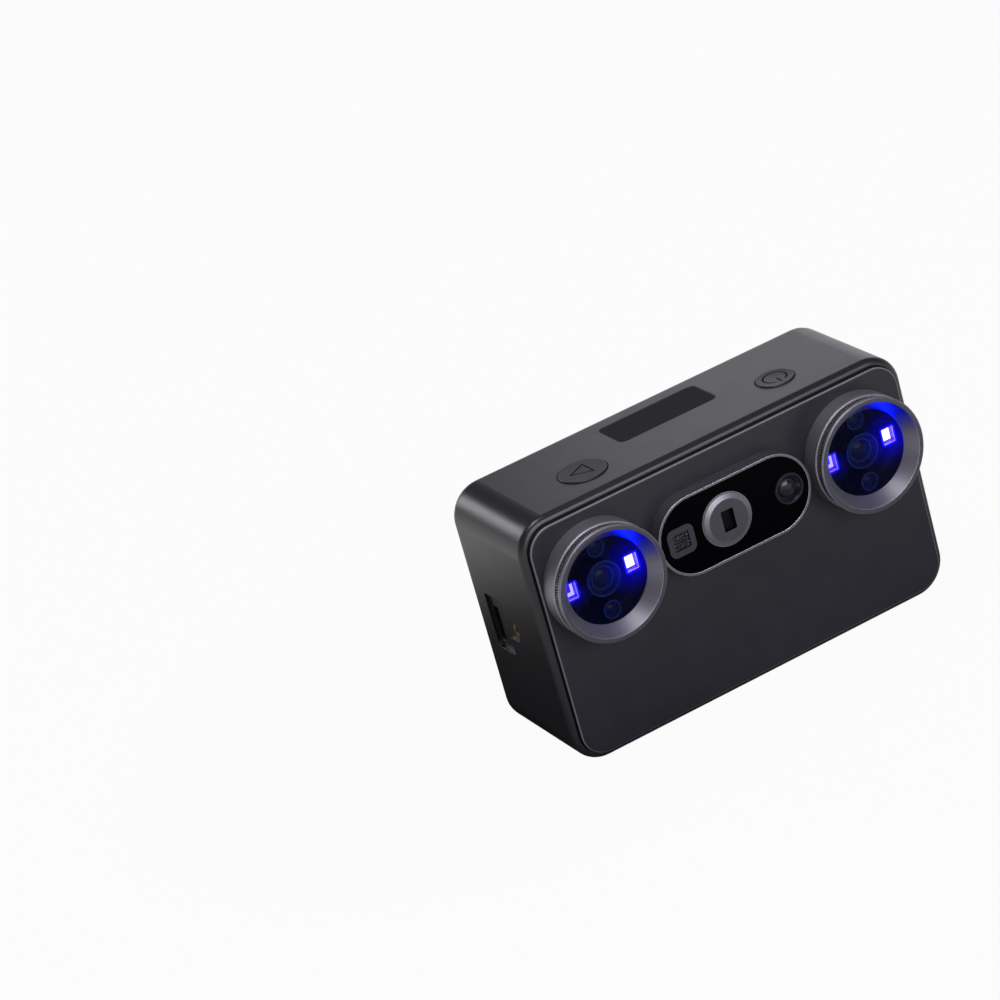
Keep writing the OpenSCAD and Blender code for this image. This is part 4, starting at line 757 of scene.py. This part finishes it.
def vent_cloth(finish):
    """Fine mesh laid into the top vent, over its perforated plate."""
    low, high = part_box("top_vent")
    begin()
    seat = ((low.x + high.x) / 2, (low.y + high.y) / 2, TOP - 0.09 * MM)
    bpy.ops.mesh.primitive_plane_add(size=1, location=seat)
    bpy.context.object.scale = (high.x - low.x - 1.0 * MM, high.y - low.y - 1.0 * MM, 1)
    cloth = named("vent_mesh")
    bpy.ops.object.mode_set(mode="EDIT")
    bpy.ops.mesh.select_all(action="SELECT")
    bpy.ops.mesh.bevel(offset=2.4 * MM, segments=8, affect="VERTICES")
    push((0, 0, 0.07 * MM))
    bpy.ops.mesh.select_all(action="SELECT")
    bpy.ops.mesh.normals_make_consistent(inside=False)
    bpy.ops.object.mode_set(mode="OBJECT")
    fit(cloth, "housing", "grille", finish)


def thread(name, body, slot, finish, centre, axis, across, radius, pitch, length, ridge):
    """Screw thread inside a bore: a small ridge wound along the axis by the screw modifier."""
    begin()
    bpy.ops.mesh.primitive_circle_add(vertices=3, radius=ridge, location=(radius, 0, 0),
                                      rotation=(math.pi / 2, 0, 0))
    piece = named(name)
    turns = int(length / pitch)
    wind = piece.modifiers.new("wind", "SCREW")
    wind.axis = "Z"
    wind.angle = 2 * math.pi
    wind.screw_offset = pitch
    wind.iterations = turns
    wind.steps = wind.render_steps = 40
    wind.use_merge_vertices = True
    bpy.ops.object.modifier_apply(modifier=wind.name)
    frame_of_axis = Matrix((across, axis.cross(across), axis)).transposed().to_4x4()
    piece.matrix_world = Matrix.Translation(centre) @ frame_of_axis
    bpy.ops.object.transform_apply(location=True, rotation=True, scale=True)
    bpy.ops.object.mode_set(mode="EDIT")
    bpy.ops.mesh.select_all(action="SELECT")
    bpy.ops.mesh.normals_make_consistent(inside=False)
    bpy.ops.object.mode_set(mode="OBJECT")
    fit(piece, body, slot, finish)


def socket_contacts(finish):
    """Gold contacts on both faces of the socket's tongue."""
    low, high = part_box("usb_socket")
    middle_y, middle_z = (low.y + high.y) / 2, (low.z + high.z) / 2
    first = slab("socket_contact_1", (low.x + 1.2 * MM, middle_y - 0.56 * MM, middle_z - 4.6 * MM),
                 (low.x + 4.6 * MM, middle_y + 0.56 * MM, middle_z - 3.9 * MM))
    soften(first, 0.1 * MM)
    fit(first, "housing", "brass", finish)
    for i in range(1, 7):
        fit(copied(first, f"socket_contact_{i + 1}", (0, 0, i * 1.4 * MM)), "housing", "brass")


def dress_nodes(finishes):
    """Every CAD node gets its finish. A name without a side stands for both heads."""
    barrel = lens_barrel_black("black barrel with blue-coated glass", "#081440", 0.3)
    small_barrel = lens_barrel_black("black barrel with coated glass", "#000000", 0.12)
    wearers = (
        (finishes["graphite lacquer on ABS"],
         "main_housing switch_panel battery_door bottom_plate end_plate"),
        (finishes["black satin lacquer on ABS"], "front_panel"),
        (finishes["grey satin lacquer on ABS"], "rear_cover"),
        (finishes["pale grey ABS, mode_switch_knob"], "mode_switch_knob"),
        (finishes["pale grey ABS, door_latch"], "door_latch"),
        (finishes["spark-eroded black ABS"],
         "display_panel light_emitters fan_frame fan_rotor mode_switch_base speaker"),
        (finishes["charcoal ABS"], "top_vent bottom_grille"),
        (finishes["black silicone rubber"], "strap_plug"),
        (finishes["shrunk PVC sleeve"], "battery_pack"),
        (finishes["graphite anodised aluminium"], "projector_bezel"),
        (finishes["bead-blasted aluminium"], "lens_hood"),
        (finishes["fine-blasted aluminium"], "lens_boss"),
        (finishes["black anodised aluminium"], "knurled_ring"),
        (finishes["black nickel plate"], "usb_socket"),
        (finishes["turned stainless steel"], "bench_screws bottom_screws door_hinge_pin tripod_socket"),
        (finishes["plain brass"], "board_standoffs battery_contacts lock_insert"),
        (finishes["rolled aluminium"], "optical_bench heat_sink"),
        (solder_resist("green solder resist", "#123a2b", "#1d5540"),
         "button_board main_board connector_board"),
        (solder_resist("black solder resist", "#06070c", "#0b0d16"), "lens_board projector_board"),
        (filter_glass(), "lens_window"),
        (screen_glass(), "display_glass"),
        (coated_black_glass(), "projector_window"),
        (barrel, "camera_lens infrared_lenses"),
        (small_barrel, "colour_camera"),
        (framed_nickel(), "dot_projector"),
        (slotted_nickel(), "laser_projector"),
        (button_lacquer("scan_button", 0.12), "scan_button"),
        (button_lacquer("power_button", 0.5), "power_button"),
    )
    wanted = {name: finish for finish, names in wearers for name in names.split()}
    for name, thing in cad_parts.items():
        finish = wanted[name.replace("_left", "").replace("_right", "")]
        thing.data.materials.clear()
        thing.data.materials.append(finish)


# Studio

def studio():
    """Grey paper floor that the camera sees as white, a wide light in front, one overhead, two behind."""
    begin()
    bpy.ops.mesh.primitive_plane_add(size=8, location=(0, 0, -0.02 * MM))
    floor = named("studio_floor")
    material, tree, shader, place = blank("white paper floor", Roughness=0.9, Specular_IOR_Level=0.1)
    fibre = node(tree, "TexNoise", {"Vector": place, "Scale": 1000 / 3, "Detail": 3.0}).outputs["Fac"]
    paper = node(tree, "Mix", {0: fibre, 6: colour("#828282"), 7: colour("#8a8a8a")},
                 data_type="RGBA").outputs[2]
    # Painted shade: a soft grey patch behind the left end gives that end its fall from light to dark
    far = distance(tree, place, (-0.09, 0.06, 0), (1, 1, 1))
    clear_of_painted_shade = node(tree, "MapRange", {"Value": far, 1: 0.05, 2: 0.16},
                      interpolation_type="SMOOTHSTEP").outputs[0]
    tone = node(tree, "Mix", {0: clear_of_painted_shade, 6: colour("#1c1c1c"), 7: paper}, data_type="RGBA").outputs[2]
    tree.links.new(tone, shader.inputs["Base Color"])
    glow = node(tree, "Emission", {"Color": (1, 1, 1, 1), "Strength": 1.0})
    rays = node(tree, "LightPath").outputs
    plain = node(tree, "Math", {0: rays["Is Camera Ray"], 1: rays["Is Transmission Ray"]},
                 operation="MAXIMUM")
    share = node(tree, "Math", {0: plain.outputs[0], 1: 0.96}, operation="MULTIPLY").outputs[0]
    # Painted shade in reflections: they see the paper dark close to the object and white further off
    mirrored = node(tree, "Math", {0: rays["Is Glossy Ray"], 1: clear_of_painted_shade}, operation="MULTIPLY").outputs[0]
    spread = distance(tree, place, (0, 0, 0), (1, 1, 0))
    painted_reflection_fade = node(tree, "MapRange", {"Value": spread, 1: 0.14, 2: 0.25, 3: 0.03, 4: 1.0}).outputs[0]
    share = node(tree, "Math", {0: mirrored, 1: painted_reflection_fade, 2: share}, operation="MULTIPLY_ADD").outputs[0]
    paper = node(tree, "MixShader", {0: share, 1: shader.outputs[0], 2: glow.outputs[0]})
    tree.links.new(paper.outputs[0], tree.nodes["Material Output"].inputs["Surface"])
    floor.data.materials.append(material)

    world = bpy.data.worlds.new("studio")
    world.use_nodes = True
    bpy.context.scene.world = world
    tree = world.node_tree
    sky = tree.nodes["Background"]
    rays = node(tree, "LightPath").outputs
    towards = node(tree, "SeparateXYZ", {0: node(tree, "TexCoord").outputs["Generated"]}).outputs
    # Reflections see the backdrop fade upwards and towards the front
    rise = node(tree, "MapRange", {"Value": towards[2], 1: 0.0, 2: 0.45, 3: 0.7, 4: 0.06}).outputs[0]
    sweep = node(tree, "MapRange", {"Value": towards[1], 1: -0.3, 2: 0.4, 3: 0.3, 4: 1.0}).outputs[0]
    shown = node(tree, "Math", {0: rise, 1: sweep}, operation="MULTIPLY").outputs[0]
    mirrored = node(tree, "Math", {0: rays["Is Glossy Ray"], 1: shown}, operation="MULTIPLY").outputs[0]
    plain = node(tree, "Math", {0: rays["Is Camera Ray"], 1: rays["Is Transmission Ray"]},
                 operation="MAXIMUM")
    lit = node(tree, "Math", {0: rays["Is Diffuse Ray"], 1: 0.5, 2: mirrored},
               operation="MULTIPLY_ADD").outputs[0]
    level = node(tree, "Math", {0: lit, 1: plain.outputs[0]}, operation="MAXIMUM").outputs[0]
    sky.inputs["Color"].default_value = (1, 1, 1, 1)
    tree.links.new(level, sky.inputs["Strength"])

    cool = (0.94, 0.92, 1.0)
    lamps = [
        ("front_softbox", (0.1, -1.5, 0.56), (0, 0, 0.06), (1.4, 0.8), 24, cool),
        ("overhead_softbox", (-0.2, -0.17, 1.3), (0, 0, 0.06), (0.5, 0.5), 8.5, (1, 1, 1)),
        ("rear_left_strip", (-0.62, 1.25, 0.6), (0, 0, 0.06), (0.2, 0.6), 3.9, cool),
        ("rear_right_softbox", (0.92, 1.02, 0.61), (0, 0, 0.06), (1.05, 0.73), 2.75, cool),
    ]
    for head, axis_x in HEADS:
        spill = Vector((axis_x + 10.5 * MM, WINDOW_Y - 0.4 * MM, HEAD_Z + 7 * MM))
        lamps.append((f"light_spill_{head}", spill, spill + Vector((0.5, -0.4, 0.8)), (0.003, 0.003), 0.0006,
                      (0.0, 0.04, 1)))
    for name, place, aim, size, power, tint in lamps:
        lamp = bpy.data.lights.new(name, "AREA")
        lamp.shape = "RECTANGLE"
        lamp.size, lamp.size_y = size
        lamp.energy = power
        lamp.color = tint
        light = bpy.data.objects.new(name, lamp)
        bpy.context.scene.collection.objects.link(light)
        light.location = place
        light.rotation_euler = (Vector(place) - Vector(aim)).to_track_quat("Z", "Y").to_euler()
        light.visible_camera = False


def build():
    bpy.context.scene.view_settings.view_transform = "Standard"
    begin()
    place_camera()
    finishes = make_finishes()
    dress_nodes(finishes)
    # The cup rims and the three wall bands are painted glow; the dies are the lights themselves
    light_packages(finishes["spark-eroded black ABS"], glowing("lit package rim", "#0410ff", "#0c1cff", 2.2),
                   glowing("lit wall, white band", "#8a70ff", "#a08cff", 3.0),
                   glowing("lit wall, violet band", "#5a10ff", "#7a24ff", 1.0),
                   glowing("lit wall, blue band", "#0a08a0", "#120cc0", 0.4))
    light_dies(glowing("lit die, white core", "#6660ff", "#706cff", 30.0),
               glowing("lit die, pale core", "#5a54ff", "#645eff", 16.0),
               glowing("lit die, violet base", "#3a10ff", "#4a1cff", 0.9))
    # Painted glow: the lens rings shine blue of their own
    lens_rings(glowing("blue-coated ring", "#12266a", "#1c347c", 0.65))
    camera_rings(finishes["black nickel plate"])
    dot_lens_array(pressed_glass())
    vent_cloth(woven_mesh())
    thread("tripod_thread", "housing", "steel", finishes["turned stainless steel"], (0, 0, 0.3 * MM), Z, X,
           3.2 * MM, 1.27 * MM, 8.6 * MM, 0.45 * MM)
    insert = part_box("lock_insert")
    thread("lock_insert_thread", "housing", "brass", finishes["plain brass"],
           (insert[0].x + 0.1 * MM, (insert[0].y + insert[1].y) / 2, (insert[0].z + insert[1].z) / 2), X, Y,
           1.0 * MM, 0.4 * MM, 4.0 * MM, 0.14 * MM)
    socket_contacts(finishes["plain brass"])
    studio()


build()
